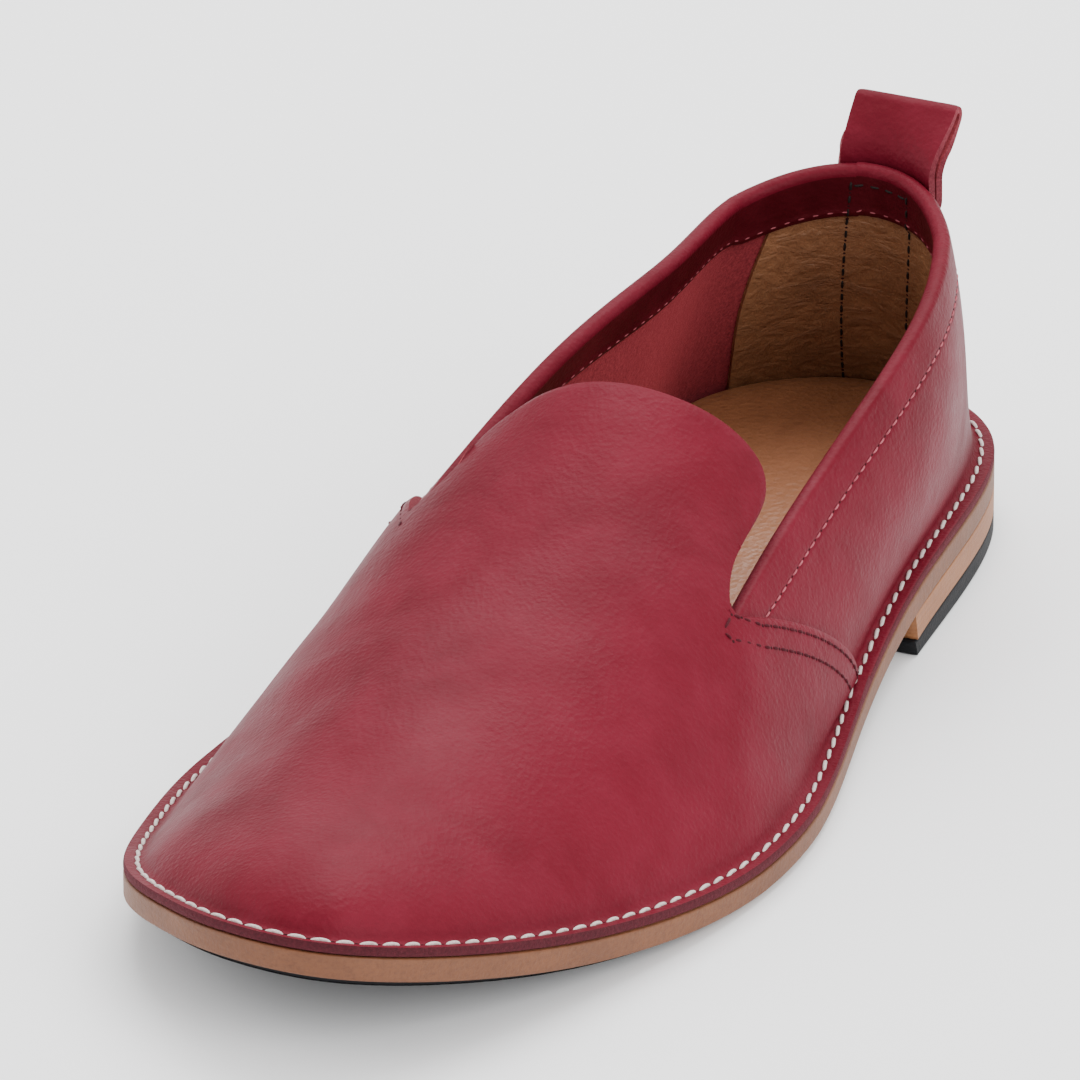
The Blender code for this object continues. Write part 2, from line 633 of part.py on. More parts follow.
def build_strip():
    """Strip up the heel that folds over above the collar, its front end tucked inside it."""
    around = np.linspace(-0.055, 0.055, 45)
    foot = on_ring(FEATHER, around)
    plan = ray_plan(around, collar_rise(np.where(around < 0, -1, 1) * foot[:, 0]))
    points, lengths = wall(around, 0.5 * (foot + plan), plan, np.linspace(0, 1, 40))
    up = np.gradient(points, axis=1)
    normal = unit(np.cross(np.gradient(points, axis=0), up))
    if normal[22, 20, 0] > 0:
        normal = -normal
    across = np.linspace(-0.5, 0.5, STRIP_ACROSS) * STRIP_WIDTH
    length = lengths[22]
    rising = np.linspace(STRIP_FOOT, length, STRIP_ROWS)
    tucked = np.linspace(length, length - TUCK, 5)

    def band(heights):
        """Points and normals of the wall over the strip's width at heights up the wall."""
        j = np.interp(heights, np.linspace(0, length, 40), np.arange(40))
        low = np.clip(np.floor(j).astype(int), 0, 38)
        part = (j - low)[None, :, None]
        spot = points[:, low] * (1 - part) + points[:, low + 1] * part
        turned = unit(normal[:, low] * (1 - part) + normal[:, low + 1] * part)
        place = np.empty((STRIP_ACROSS, len(heights), 3))
        out = np.empty_like(place)
        for r in range(len(heights)):
            run = np.cumsum(np.linalg.norm(np.diff(spot[:, r], axis=0), axis=1))
            run = np.concatenate([[0.0], run])
            side = STRIP_FOOT_SIDE + (STRIP_TOP_SIDE - STRIP_FOOT_SIDE) * heights[r] / length
            run = run - run[22] - side
            for k in range(3):
                place[:, r, k] = np.interp(across, run, spot[:, r, k])
                out[:, r, k] = np.interp(across, run, turned[:, r, k])
        return place.swapaxes(0, 1), unit(out).swapaxes(0, 1)

    inner_faces = []
    outer_faces = []
    place, out = band(rising)
    room = STRIP_LEATHER + GAP
    ease = np.clip((rising - (length - TUCK - 0.006)) / 0.006, 0, 1)
    extra = room * ease * ease * (3 - 2 * ease)
    for r in range(len(rising)):
        inner_faces.append(place[r] + out[r] * (STRIP_GAP + extra[r]))
        outer_faces.append(place[r] + out[r] * (STRIP_GAP + extra[r] + STRIP_LEATHER))
    end_place, end_out = band(np.array([length]))
    end_place, end_out = end_place[0], end_out[0]
    middle = STRIP_ACROSS // 2
    wall_up = unit(points[22, -1] - points[22, -4])
    start_angle = np.arctan2(-wall_up[0], wall_up[2])
    steps = 10
    s = np.linspace(0, 1, steps)
    angle = start_angle + (np.radians(LOOP_LEAN) - start_angle) * np.clip(s / 0.45, 0, 1)
    ds = LOOP_LENGTH / (steps - 1)
    run_t = np.concatenate([[0.0], np.cumsum(-np.sin(angle[1:]) * ds)])
    run_z = np.concatenate([[0.0], np.cumsum(np.cos(angle[1:]) * ds)])
    half = 0.5 * (STRIP_LEATHER + GAP + (LOOP_OPEN - GAP) * np.sin(0.5 * np.pi * s))
    mid = end_place + end_out * (STRIP_GAP + STRIP_LEATHER + 0.5 * GAP)
    flat = mid[middle] + np.stack([0 * across, across, 0 * across], 1)
    for k in range(1, steps):
        weight = s[k] * s[k] * (3 - 2 * s[k])
        row = mid * (1 - weight) + flat * weight + np.array([run_t[k], 0, run_z[k]])
        back = np.array([-np.cos(angle[k]), 0, -np.sin(angle[k])])
        back = unit(end_out * (1 - weight) + back * weight)
        inner_faces.append(row + back * (half[k] - 0.5 * STRIP_LEATHER))
        outer_faces.append(row + back * (half[k] + 0.5 * STRIP_LEATHER))
    for turn in np.linspace(0, np.pi, 8)[1:-1]:
        heading = np.array([-np.sin(angle[-1]), 0, np.cos(angle[-1])])
        way = back * np.cos(turn) + heading * np.sin(turn)
        inner_faces.append(row + way * (half[-1] - 0.5 * STRIP_LEATHER))
        outer_faces.append(row + way * (half[-1] + 0.5 * STRIP_LEATHER))
    for k in range(steps - 1, 0, -1):
        weight = s[k] * s[k] * (3 - 2 * s[k])
        row = mid * (1 - weight) + flat * weight + np.array([run_t[k], 0, run_z[k]])
        back = np.array([-np.cos(angle[k]), 0, -np.sin(angle[k])])
        back = unit(end_out * (1 - weight) + back * weight)
        inner_faces.append(row - back * (half[k] - 0.5 * STRIP_LEATHER))
        outer_faces.append(row - back * (half[k] + 0.5 * STRIP_LEATHER))
    place, out = band(tucked)
    for r in range(len(tucked)):
        inner_faces.append(place[r] + out[r] * (STRIP_GAP + STRIP_LEATHER))
        outer_faces.append(place[r] + out[r] * STRIP_GAP)
    inner_faces = np.array(inner_faces)
    outer_faces = np.array(outer_faces)
    loops = np.concatenate([outer_faces, inner_faces[:, ::-1]], 1)
    loft("heel_strip_loop", loops, "red_leather", sharp=40.0)


def main():
    for found in list(bpy.data.objects):
        bpy.data.objects.remove(found, do_unlink=True)
    build_soles()
    build_upper()
    build_strip()


main()
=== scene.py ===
import bpy
import numpy as np
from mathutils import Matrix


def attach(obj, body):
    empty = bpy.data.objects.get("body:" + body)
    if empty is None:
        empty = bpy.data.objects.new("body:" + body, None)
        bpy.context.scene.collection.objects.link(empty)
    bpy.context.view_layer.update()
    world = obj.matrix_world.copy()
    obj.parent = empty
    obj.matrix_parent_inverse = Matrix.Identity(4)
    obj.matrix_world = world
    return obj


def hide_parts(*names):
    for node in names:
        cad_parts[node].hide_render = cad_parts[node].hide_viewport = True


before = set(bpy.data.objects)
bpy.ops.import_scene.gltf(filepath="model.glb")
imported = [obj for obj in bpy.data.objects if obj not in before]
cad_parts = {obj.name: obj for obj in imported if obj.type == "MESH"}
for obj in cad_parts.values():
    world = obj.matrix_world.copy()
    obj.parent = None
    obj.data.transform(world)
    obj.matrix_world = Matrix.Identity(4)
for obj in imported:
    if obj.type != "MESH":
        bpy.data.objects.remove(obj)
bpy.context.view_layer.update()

# Camera: the photo's angle to the shoe, aimed at its middle, drawn larger so that one shoe fills the frame
cameraValues = {"place": (0.976, -2.231, 1.121), "heading": 24.905, "pitch": 24.76, "lens": 440.0}
cameraData = bpy.data.cameras.new("photoCamera")
cameraData.lens = cameraValues["lens"]
cameraData.sensor_width = 36.0
cameraData.clip_start = 0.05
cameraData.clip_end = 50.0
photoCamera = bpy.data.objects.new("photoCamera", cameraData)
bpy.context.scene.collection.objects.link(photoCamera)
photoCamera.location = cameraValues["place"]
photoCamera.rotation_euler = np.radians([90 - cameraValues["pitch"], 0, cameraValues["heading"]])
bpy.context.scene.camera = photoCamera

# Sizes of the shoe, as in its solids, in metres
shoe = {
    "length": 0.302,
    "ballWidth": 0.118,
    "heelHeight": 0.0150,
    "toeSpring": 0.0190,
    "collarHeight": 0.058,
    "instepHeight": 0.064,
    "leather": 0.0020,
    "flangeWidth": 0.0042,
    "fillet": 0.0014,
    "lapRun": 0.030,
    "outsole": 0.0050,
    "lift": 0.0056,
    "tread": 0.0010,
    "gap": 0.0003,
    "treadInset": 0.0030,
    "treadAhead": 0.012,
    "heelLength": 0.087,
    "breastSlope": 0.0035,
    "heelCentre": 0.139,
    "heelAxis": -0.022,
    "seam": 0.412,
    "seamBow": 0.0050,
    "seamBowRun": 0.025,
    "throatRise": 0.055,
}
length = shoe["length"]
ballWidth = shoe["ballWidth"]

# Plan of the sole: share of the length from the heel back, share of the ball width
outlineRows = np.array([
    (0.002, 0.000), (0.044, 0.208), (0.149, 0.308), (0.298, 0.353), (0.441, 0.415),
    (0.574, 0.487), (0.695, 0.481), (0.809, 0.407), (0.914, 0.298), (0.998, 0.117),
    (0.993, -0.085), (0.965, -0.203), (0.909, -0.347), (0.796, -0.459), (0.675, -0.508),
    (0.536, -0.460), (0.396, -0.335), (0.248, -0.297), (0.131, -0.352), (0.037, -0.227),
])
# Underside: share of the length, share of the heel's rise, share of the toe spring, thickness share
stationRows = np.array([
    (0.00, 1.00, 0.000, 1.04), (0.14, 1.05, 0.000, 1.02), (0.27, 0.99, 0.000, 1.00),
    (0.37, 0.62, 0.000, 0.94), (0.46, 0.22, 0.000, 0.90), (0.55, 0.02, 0.000, 0.88),
    (0.66, 0.00, 0.000, 0.88), (0.74, 0.00, 0.085, 0.92), (0.85, 0.00, 0.360, 0.98),
    (1.00, 0.00, 1.000, 1.00),
])
# Last: share of the length, crown height, crown shift, roundness in plan and in height
lastRows = np.array([
    (0.00, 1.450, 0.010, 2.2, 2.20), (0.15, 1.380, 0.025, 2.2, 1.90), (0.30, 1.250, -0.020, 2.2, 1.45),
    (0.43, 1.070, -0.025, 2.2, 1.20), (0.55, 0.860, 0.010, 2.2, 1.20), (0.66, 0.665, 0.015, 2.2, 1.40),
    (0.78, 0.490, -0.020, 2.1, 1.45), (0.88, 0.395, -0.055, 2.1, 1.50), (1.00, 0.410, -0.065, 2.1, 1.75),
])
swellRows = np.array([
    (0.000, -0.210), (0.125, 0.150), (0.250, 0.010), (0.375, -0.035),
    (0.500, -0.065), (0.625, -0.140), (0.750, 0.130), (0.875, -0.065),
])
collarRows = np.array([
    (-0.548, 0.70), (-0.364, 0.895), (-0.232, 0.91), (-0.100, 0.95), (0.000, 1.01),
    (0.100, 0.97), (0.232, 0.865), (0.364, 0.74), (0.553, 0.57),
])
lobeRows = np.array([
    (0.553, 0.305), (0.551, 0.293), (0.524, 0.269), (0.476, 0.251), (0.446, 0.216), (0.457, 0.112),
    (0.468, -0.008), (0.475, -0.115), (0.488, -0.178), (0.522, -0.196), (0.550, -0.228), (0.548, -0.285),
])


def smooth(x, y, at, period=None):
    # cubic spline through the rows, closed when a period is given, free-ended otherwise
    x = np.asarray(x, float)
    y = np.asarray(y, float)
    flat = y.ndim == 1
    y = y.reshape(len(y), -1)
    if period is not None:
        x = np.append(x, x[0] + period)
        y = np.vstack([y, y[:1]])
    step = np.diff(x)
    slope = np.diff(y, axis=0) / step[:, None]
    count = len(x)
    system = np.zeros((count, count))
    right = np.zeros((count, y.shape[1]))
    for i in range(1, count - 1):
        system[i, i - 1 : i + 2] = step[i - 1], 2 * (step[i - 1] + step[i]), step[i]
        right[i] = 6 * (slope[i] - slope[i - 1])
    if period is None:
        system[0, 0] = 1
        system[-1, -1] = 1
    else:
        system[0, 0] = 1
        system[0, -1] = -1
        system[-1, [0, 1]] = 2 * step[0], step[0]
        system[-1, [-1, -2]] = 2 * step[-1], step[-1]
        right[-1] = 6 * (slope[0] - slope[-1])
    bend = np.linalg.solve(system, right)
    at = np.asarray(at, float)
    if period is not None:
        at = x[0] + np.mod(at - x[0], period)
    i = np.clip(np.searchsorted(x, at, side="right") - 1, 0, count - 2)
    d = (at - x[i])[..., None]
    h = step[i][..., None]
    first = slope[i] - h * (2 * bend[i] + bend[i + 1]) / 6
    out = y[i] + d * first + d * d * bend[i] / 2 + d**3 * (bend[i + 1] - bend[i]) / (6 * h)
    return out[..., 0] if flat else out


def unit(v):
    return v / np.maximum(np.linalg.norm(v, axis=-1, keepdims=True), 1e-12)


def ease(value):
    # 0 to 1 with flat ends
    value = np.clip(value, 0, 1)
    return value * value * (3 - 2 * value)


def bell(value, middle, width):
    return np.exp(-(((value - middle) / width) ** 2))


def makeRing(inset, count=2400):
    # closed plan curve of the sole's edge moved inwards, even from the heel back over the outer side
    rows = outlineRows * [length, ballWidth]
    chord = np.linalg.norm(np.roll(rows, -1, 0) - rows, axis=1) ** 0.5
    knots = np.concatenate([[0.0], np.cumsum(chord)])
    fine = np.linspace(0, knots[-1], 4 * count, endpoint=False)
    line = smooth(knots[:-1], rows, fine, period=knots[-1])
    tangent = unit(np.roll(line, -1, 0) - np.roll(line, 1, 0))
    line = line + inset * np.stack([tangent[:, 1], -tangent[:, 0]], 1)
    span = np.concatenate([[0.0], np.cumsum(np.linalg.norm(np.diff(line, axis=0), axis=1))])
    total = span[-1] + np.linalg.norm(line[0] - line[-1])
    even = np.linspace(0, total, count, endpoint=False)
    return np.stack([np.interp(even, span, line[:, k], period=total) for k in (0, 1)], 1)


def onRing(ring, share):
    places = np.arange(len(ring)) / len(ring)
    return np.stack([np.interp(np.mod(share, 1), places, ring[:, k], period=1) for k in (0, 1)], -1)


def soleUnder(t):
    base = shoe["tread"] + shoe["gap"]
    raised = shoe["heelHeight"] - shoe["outsole"] * stationRows[0, 3]
    rest = stationRows[:, 1] * (raised - base) + stationRows[:, 2] * shoe["toeSpring"]
    return np.maximum(smooth(stationRows[:, 0] * length, rest, t), 0.0) + base


def soleTop(t):
    return soleUnder(t) + smooth(stationRows[:, 0] * length, stationRows[:, 3] * shoe["outsole"], t)


def featherZ(t):
    return soleTop(t) + shoe["gap"] + shoe["leather"]


feather = makeRing(shoe["flangeWidth"])
featherTangent = unit(np.roll(feather, -1, 0) - np.roll(feather, 1, 0))
featherOut = np.stack([-featherTangent[:, 1], featherTangent[:, 0]], 1)
featherLength = np.linalg.norm(np.roll(feather, -1, 0) - feather, axis=1).sum()
heelFan = 0.140 * length
toeFan = 0.700 * length


def crown(t):
    return smooth(lastRows[:, 0] * length, lastRows[:, 2] * ballWidth, t)


def sideOf(sign):
    t, x = feather.T
    keep = np.where((x - crown(t)) * sign > 0)[0]
    keep = keep[np.argsort(t[keep])]
    share = keep / len(feather)
    if sign > 0:
        share = np.where(share > 0.6, share - 1, share)
    else:
        share = np.where(share < 0.4, share + 1, share)
    return t[keep], x[keep], share


sides = {1: sideOf(1), -1: sideOf(-1)}


def fanOf(centreT, towards):
    centre = np.array([centreT, crown(np.array([centreT]))[0]])
    away = feather - centre
    keep = np.where(away[:, 0] * towards > -0.008)[0]
    angle = np.arctan2(away[keep, 1], away[keep, 0] * towards)
    order = np.argsort(angle)
    share = keep[order] / len(feather)
    if towards < 0:
        share = np.where(share > 0.5, share - 1, share)
    return centre, angle[order], np.linalg.norm(away[keep], axis=1)[order], share


fans = ((heelFan, -1, fanOf(heelFan, -1)), (toeFan, 1, fanOf(toeFan, 1)))


def spread(plan):
    # share of the way from the crown to the feather line, and the foot's share round it
    t, x = plan[..., 0], plan[..., 1]
    middle = crown(np.clip(t, heelFan, toeFan))
    out = np.zeros_like(t)
    foot = np.zeros_like(t)
    for sign, (along, across, share) in sides.items():
        here = (x >= middle) if sign > 0 else (x < middle)
        half = np.abs(np.interp(t, along, across) - middle)
        out = np.where(here, np.abs(x - middle) / np.maximum(half, 1e-6), out)
        foot = np.where(here, np.interp(t, along, share), foot)
    for end, towards, (centre, angle, radius, share) in fans:
        here = (t - end) * towards > 0
        away = plan - centre
        turn = np.arctan2(away[..., 1], away[..., 0] * towards)
        out = np.where(here, np.linalg.norm(away, axis=-1) / np.interp(turn, angle, radius), out)
        foot = np.where(here, np.interp(turn, angle, share), foot)
    return out, np.mod(foot, 1)


def lastPoint(plan):
    # point of the last over a plan point: a superellipse from crown to feather line, swollen sideways
    out, foot = spread(plan)
    t = plan[..., 0]
    rows = lastRows[:, 0] * length
    planRound = smooth(rows, lastRows[:, 3], t)
    sideRound = smooth(rows, lastRows[:, 4], t)
    full = smooth(rows, lastRows[:, 1] * shoe["instepHeight"], t)
    rise = full * (1 - np.clip(out, 0, 1) ** planRound) ** (1 / sideRound)
    share = rise / shoe["instepHeight"]
    swell = smooth(swellRows[:, 0], swellRows[:, 1] * shoe["instepHeight"], foot, period=1.0)
    swell = swell * share * np.exp(1 - share) * out * out * (3 - 2 * out)
    push = onRing(featherOut, foot) * swell[..., None]
    return np.concatenate([plan + push, (featherZ(t) + rise)[..., None]], -1)


def rayPlan(foot, rise):
    # plan point on the ray of a foot where the last is that high
    start = onRing(feather, foot)
    middle = np.clip(start[:, 0], heelFan, toeFan)
    centre = np.stack([middle, crown(middle)], 1)
    rows = lastRows[:, 0] * length
    t = start[:, 0]
    for _ in range(5):
        full = smooth(rows, lastRows[:, 1] * shoe["instepHeight"], t)
        high = np.clip(rise / full, 0, 1) ** smooth(rows, lastRows[:, 4], t)
        plan = centre + (start - centre) * ((1 - high) ** (1 / smooth(rows, lastRows[:, 3], t)))[:, None]
        t = plan[:, 0]
    return plan


def collarRise(signedT):
    signedT = np.clip(signedT, collarRows[0, 0] * length, collarRows[-1, 0] * length)
    return smooth(collarRows[:, 0] * length, collarRows[:, 1] * shoe["collarHeight"], signedT)


def sideShare(sign, t):
    along, _, share = sides[sign]
    return np.interp(t, along, share)


outerFoot = sideShare(1, shoe["seam"] * length)
innerFoot = sideShare(-1, shoe["seam"] * length)
outerEnd = sideShare(1, collarRows[-1, 0] * length)
innerEnd = sideShare(-1, -collarRows[0, 0] * length)


def seamBow(feet):
    # how far a column bows forward with the side seam: a bell over the distance from it
    away = np.minimum(np.abs(feet - outerFoot), np.abs(feet - innerFoot)) * featherLength
    return shoe["seamBow"] * np.exp(-((away / shoe["seamBowRun"]) ** 2))


def quarterColumns(step):
    # step runs from -1 at the inner seam over 0 at the heel back to 1 at the outer seam
    feet = np.where(step < 0, step * (1 - innerFoot), step * outerFoot)
    above = np.where(step < 0, step * (1 - innerEnd), step * outerEnd)
    t = onRing(feather, above)[:, 0]
    tops = rayPlan(above, collarRise(np.where(above < 0, -t, t)))
    turns = 0.5 * (onRing(feather, feet) + tops)
    return feet, turns, tops, seamBow(np.mod(feet, 1))


def vampColumns(even):
    # even runs from 0 at the outer seam round the toe to 1 at the inner seam
    corners = quarterColumns(np.array([1.0, -1.0]))[2]
    rows = lobeRows * [length, ballWidth]
    rows[0] = corners[0]
    rows[-1] = corners[1]
    chord = np.linalg.norm(np.diff(rows, axis=0), axis=1) ** 0.5
    knots = np.concatenate([[0.0], np.cumsum(chord)])
    fine = smooth(knots, rows, np.linspace(0, knots[-1], 1200))
    span = np.concatenate([[0.0], np.cumsum(np.linalg.norm(np.diff(fine, axis=0), axis=1))])
    tops = np.stack([np.interp(even * span[-1], span, fine[:, k]) for k in (0, 1)], 1)
    feet = outerFoot + (innerFoot - outerFoot) * even
    over = (0.5 - 0.5 * np.cos(np.pi * even))[:, None]
    turns = rows[0] + (rows[-1] - rows[0]) * over
    turns[:, 0] += shoe["throatRise"] * length * np.sin(np.pi * over[:, 0])
    return feet, turns, tops, seamBow(feet)


def fineWall(columns, count=420):
    # dense points of the last up each column, and their distance from the feather line
    feet, turns, tops, bow = columns
    start = onRing(feather, feet)
    first = np.linalg.norm(turns - start, axis=1)
    second = np.linalg.norm(tops - turns, axis=1)
    done = (first + second)[:, None] * np.linspace(0, 1, count) ** 2.6
    low = np.clip(done / np.maximum(first, 1e-9)[:, None], 0, 1)[..., None]
    high = np.clip((done - first[:, None]) / np.maximum(second, 1e-9)[:, None], 0, 1)[..., None]
    plan = start[:, None] + (turns - start)[:, None] * low + (tops - turns)[:, None] * high
    plan[..., 0] += bow[:, None] * np.sin(np.pi * done / (first + second)[:, None])
    points = lastPoint(plan)
    span = np.cumsum(np.linalg.norm(np.diff(points, axis=1), axis=2), axis=1)
    return points, np.concatenate([np.zeros((len(feet), 1)), span], 1)


def sampleWall(points, span, want):
    # points at wanted distances up every column, by straight lines between the dense points
    row = np.arange(len(span))[:, None]
    count = span.shape[1]
    at = np.searchsorted((span + row * 10.0).ravel(), (want + row * 10.0).ravel(), side="right") - 1
    at = np.clip(at.reshape(want.shape) - row * count, 0, count - 2)
    low = span[row, at]
    high = span[row, at + 1]
    part = np.clip((want - low) / np.maximum(high - low, 1e-12), 0, 1)[..., None]
    return points[row, at] * (1 - part) + points[row, at + 1] * part


def wallNormal(points):
    return unit(np.cross(np.gradient(points, axis=1), np.gradient(points, axis=0)))


def toWorld(points):
    # table axes to the shoe's: t runs from the heel back towards -Y
    out = np.empty_like(points)
    out[..., 0] = points[..., 1] - shoe["heelAxis"] * ballWidth
    out[..., 1] = shoe["heelCentre"] * length - points[..., 0]
    out[..., 2] = points[..., 2]
    return out


# Materials
def addNode(tree, kind, links=None, **settings):
    made = tree.nodes.new(kind)
    for key, value in settings.items():
        setattr(made, key, value)
    for key, value in (links or {}).items():
        socket = made.inputs[key]
        if isinstance(value, bpy.types.NodeSocket):
            tree.links.new(value, socket)
        else:
            socket.default_value = value
    return made


def startMaterial(name, rough, specular=0.5, coat=0.0, coatRough=0.3, sheen=0.0):
    made = bpy.data.materials.new(name)
    made.use_nodes = True
    tree = made.node_tree
    shader = tree.nodes["Principled BSDF"]
    shader.inputs["Roughness"].default_value = rough
    shader.inputs["Specular IOR Level"].default_value = specular
    shader.inputs["Coat Weight"].default_value = coat
    shader.inputs["Coat Roughness"].default_value = coatRough
    shader.inputs["Sheen Weight"].default_value = sheen
    shader.inputs["Sheen Roughness"].default_value = 0.6
    where = addNode(tree, "ShaderNodeTexCoord").outputs["Object"]
    return made, tree, shader, where


def noise(tree, where, scale, detail=3.0, rough=0.5, stretch=(1, 1, 1), distortion=0.0):
    placed = where
    if stretch != (1, 1, 1):
        placed = addNode(tree, "ShaderNodeMapping", {"Vector": where, "Scale": stretch}).outputs["Vector"]
    links = {"Vector": placed, "Scale": scale, "Detail": detail, "Roughness": rough}
    links["Distortion"] = distortion
    return addNode(tree, "ShaderNodeTexNoise", links).outputs["Fac"]


def remap(tree, value, low, high, to=(0.0, 1.0)):
    links = {"Value": value, "From Min": low, "From Max": high, "To Min": to[0], "To Max": to[1]}
    return addNode(tree, "ShaderNodeMapRange", links).outputs["Result"]


def mixColour(tree, factor, first, second):
    made = addNode(tree, "ShaderNodeMix", data_type="RGBA")
    for socket, value in ((made.inputs[0], factor), (made.inputs[6], first), (made.inputs[7], second)):
        if isinstance(value, bpy.types.NodeSocket):
            tree.links.new(value, socket)
        elif isinstance(value, tuple):
            socket.default_value = (*value, 1.0)
        else:
            socket.default_value = value
    return made.outputs[2]


def maths(tree, operation, first, second):
    made = addNode(tree, "ShaderNodeMath", operation=operation)
    for socket, value in zip(made.inputs, (first, second)):
        if isinstance(value, bpy.types.NodeSocket):
            tree.links.new(value, socket)
        else:
            socket.default_value = value
    return made.outputs[0]


def tint(tree, value, weight, first, second):
    # the first colour turned towards the second by a weighted value
    return mixColour(tree, maths(tree, "MULTIPLY", value, weight), first, second)


def bump(tree, shader, heights, distance):
    # one bump from the sum of heights, each given with its weight
    total = None
    for value, weight in heights:
        scaled = maths(tree, "MULTIPLY", value, weight)
        total = scaled if total is None else maths(tree, "ADD", total, scaled)
    links = {"Height": total, "Strength": 1.0, "Distance": distance}
    made = addNode(tree, "ShaderNodeBump", links)
    tree.links.new(made.outputs["Normal"], shader.inputs["Normal"])


redValues = {
    "deep": (0.082, 0.0031, 0.0088),
    "mid": (0.116, 0.0052, 0.0142),
    "pale": (0.146, 0.0120, 0.0245),
    "rough": 0.46,
    "edgePale": (0.19, 0.032, 0.042),
    "edgeDark": (0.075, 0.007, 0.013),
    "suede": (0.270, 0.038, 0.046),
    "suedeDark": (0.125, 0.011, 0.018),
    # colours of the collar's folded band: the red leather made darker, painted shade inside the collar
    "band": (0.078, 0.0044, 0.0090),
}


def redLeather(name, mid, deep, pale, rough):
    made, tree, shader, where = startMaterial(name, rough, 0.07, 0.0, 0.25)
    cloud = remap(tree, noise(tree, where, 22.0, 4.0, 0.55, (1.0, 0.7, 1.0)), 0.36, 0.66)
    blotch = remap(tree, noise(tree, where, 70.0, 5.0, 0.6, (1, 1, 1), 0.4), 0.40, 0.72)
    speck = remap(tree, noise(tree, where, 900.0, 2.0, 0.5), 0.52, 0.74)
    colour = mixColour(tree, cloud, deep, mid)
    colour = tint(tree, blotch, 0.45, colour, pale)
    colour = tint(tree, speck, 0.16, colour, deep)
    tree.links.new(colour, shader.inputs["Base Color"])
    worn = noise(tree, where, 55.0, 3.0, 0.6)
    tree.links.new(remap(tree, worn, 0.3, 0.7, (rough - 0.05, rough + 0.09)), shader.inputs["Roughness"])
    pores = addNode(tree, "ShaderNodeTexVoronoi", {"Vector": where, "Scale": 850.0}, feature="F1")
    heights = [
        (noise(tree, where, 1500.0, 3.0, 0.6), 0.50),
        (pores.outputs["Distance"], 0.40),
        (noise(tree, where, 330.0, 4.0, 0.6), 0.55),
        (noise(tree, where, 60.0, 3.0, 0.5), 1.3),
    ]
    bump(tree, shader, heights, 0.00022)
    return made


def suedeLeather(name, light, dark, nap=1.0):
    made, tree, shader, where = startMaterial(name, 0.92, 0.2, 0.0, 0.3, 0.35)
    shader.inputs["Sheen Tint"].default_value = (*[min(1.0, 3.2 * c) for c in light], 1.0)
    cloud = remap(tree, noise(tree, where, 90.0, 5.0, 0.65), 0.36, 0.66)
    hair = remap(tree, noise(tree, where, 1600.0, 3.0, 0.7), 0.38, 0.66)
    colour = tint(tree, hair, 0.75, dark, light)
    colour = tint(tree, cloud, 0.40, colour, dark)
    tree.links.new(colour, shader.inputs["Base Color"])
    fine = noise(tree, where, 1300.0, 4.0, 0.7)
    heights = [(fine, 0.8 * nap), (noise(tree, where, 260.0, 3.0, 0.6), 0.9)]
    bump(tree, shader, heights, 0.0004)
    return made


def tanLeather(name, light, dark, rough, lines=0.0, speckle=1.0):
    made, tree, shader, where = startMaterial(name, rough, 0.4, 0.08, 0.35)
    cloud = remap(tree, noise(tree, where, 40.0, 4.0, 0.6), 0.34, 0.68)
    speck = remap(tree, noise(tree, where, 1150.0, 3.0, 0.65), 0.46, 0.66)
    flakes = remap(tree, noise(tree, where, 520.0, 4.0, 0.7, (1, 1, 2.2)), 0.50, 0.74)
    colour = tint(tree, cloud, 0.40, light, dark)
    colour = tint(tree, speck, 0.42 * speckle, colour, dark)
    colour = tint(tree, flakes, 0.30 * speckle, colour, dark)
    layered = noise(tree, where, 30.0, 4.0, 0.6, (1.0, 1.0, 46.0))
    fibre = remap(tree, layered, 0.42, 0.66)
    colour = tint(tree, fibre, 0.55 * lines, colour, dark)
    tree.links.new(colour, shader.inputs["Base Color"])
    fine = noise(tree, where, 900.0, 4.0, 0.65)
    heights = [(fine, 0.8), (layered, 1.2 * lines), (noise(tree, where, 150.0), 0.6)]
    bump(tree, shader, heights, 0.00035)
    return made


def liningLeather(name, light, dark):
    made, tree, shader, where = startMaterial(name, 0.50, 0.45, 0.05, 0.3)
    cloud = remap(tree, noise(tree, where, 45.0, 5.0, 0.6), 0.34, 0.68)
    wrinkles = noise(tree, where, 130.0, 5.0, 0.60, (1.0, 1.2, 1.9), 0.9)
    folded = remap(tree, wrinkles, 0.40, 0.62)
    colour = tint(tree, cloud, 0.55, light, dark)
    # darker along the same wrinkles that the bump raises: painted shade in the lining's folds
    colour = tint(tree, folded, 0.35, colour, dark)
    tree.links.new(colour, shader.inputs["Base Color"])
    grain = noise(tree, where, 420.0, 4.0, 0.6)
    heights = [(wrinkles, 1.5), (grain, 0.9), (noise(tree, where, 1300.0), 0.25)]
    bump(tree, shader, heights, 0.0006)
    return made


def insoleLeather(name, light, dark):
    made, tree, shader, where = startMaterial(name, 0.46, 0.45, 0.08, 0.3)
    cloud = remap(tree, noise(tree, where, 26.0, 4.0, 0.6, (1.0, 0.4, 1.0)), 0.34, 0.68)
    streak = remap(tree, noise(tree, where, 320.0, 4.0, 0.6, (1.0, 0.35, 1.0)), 0.48, 0.72)
    pores = addNode(tree, "ShaderNodeTexVoronoi", {"Vector": where, "Scale": 700.0}, feature="F1")
    dots = remap(tree, pores.outputs["Distance"], 0.0, 0.28, (1.0, 0.0))
    colour = tint(tree, cloud, 0.5, light, dark)
    colour = tint(tree, streak, 0.30, colour, dark)
    colour = tint(tree, dots, 0.30, colour, dark)
    tree.links.new(colour, shader.inputs["Base Color"])
    heights = [(pores.outputs["Distance"], 0.6), (noise(tree, where, 480.0, 4.0, 0.6), 0.7)]
    bump(tree, shader, heights, 0.00030)
    return made


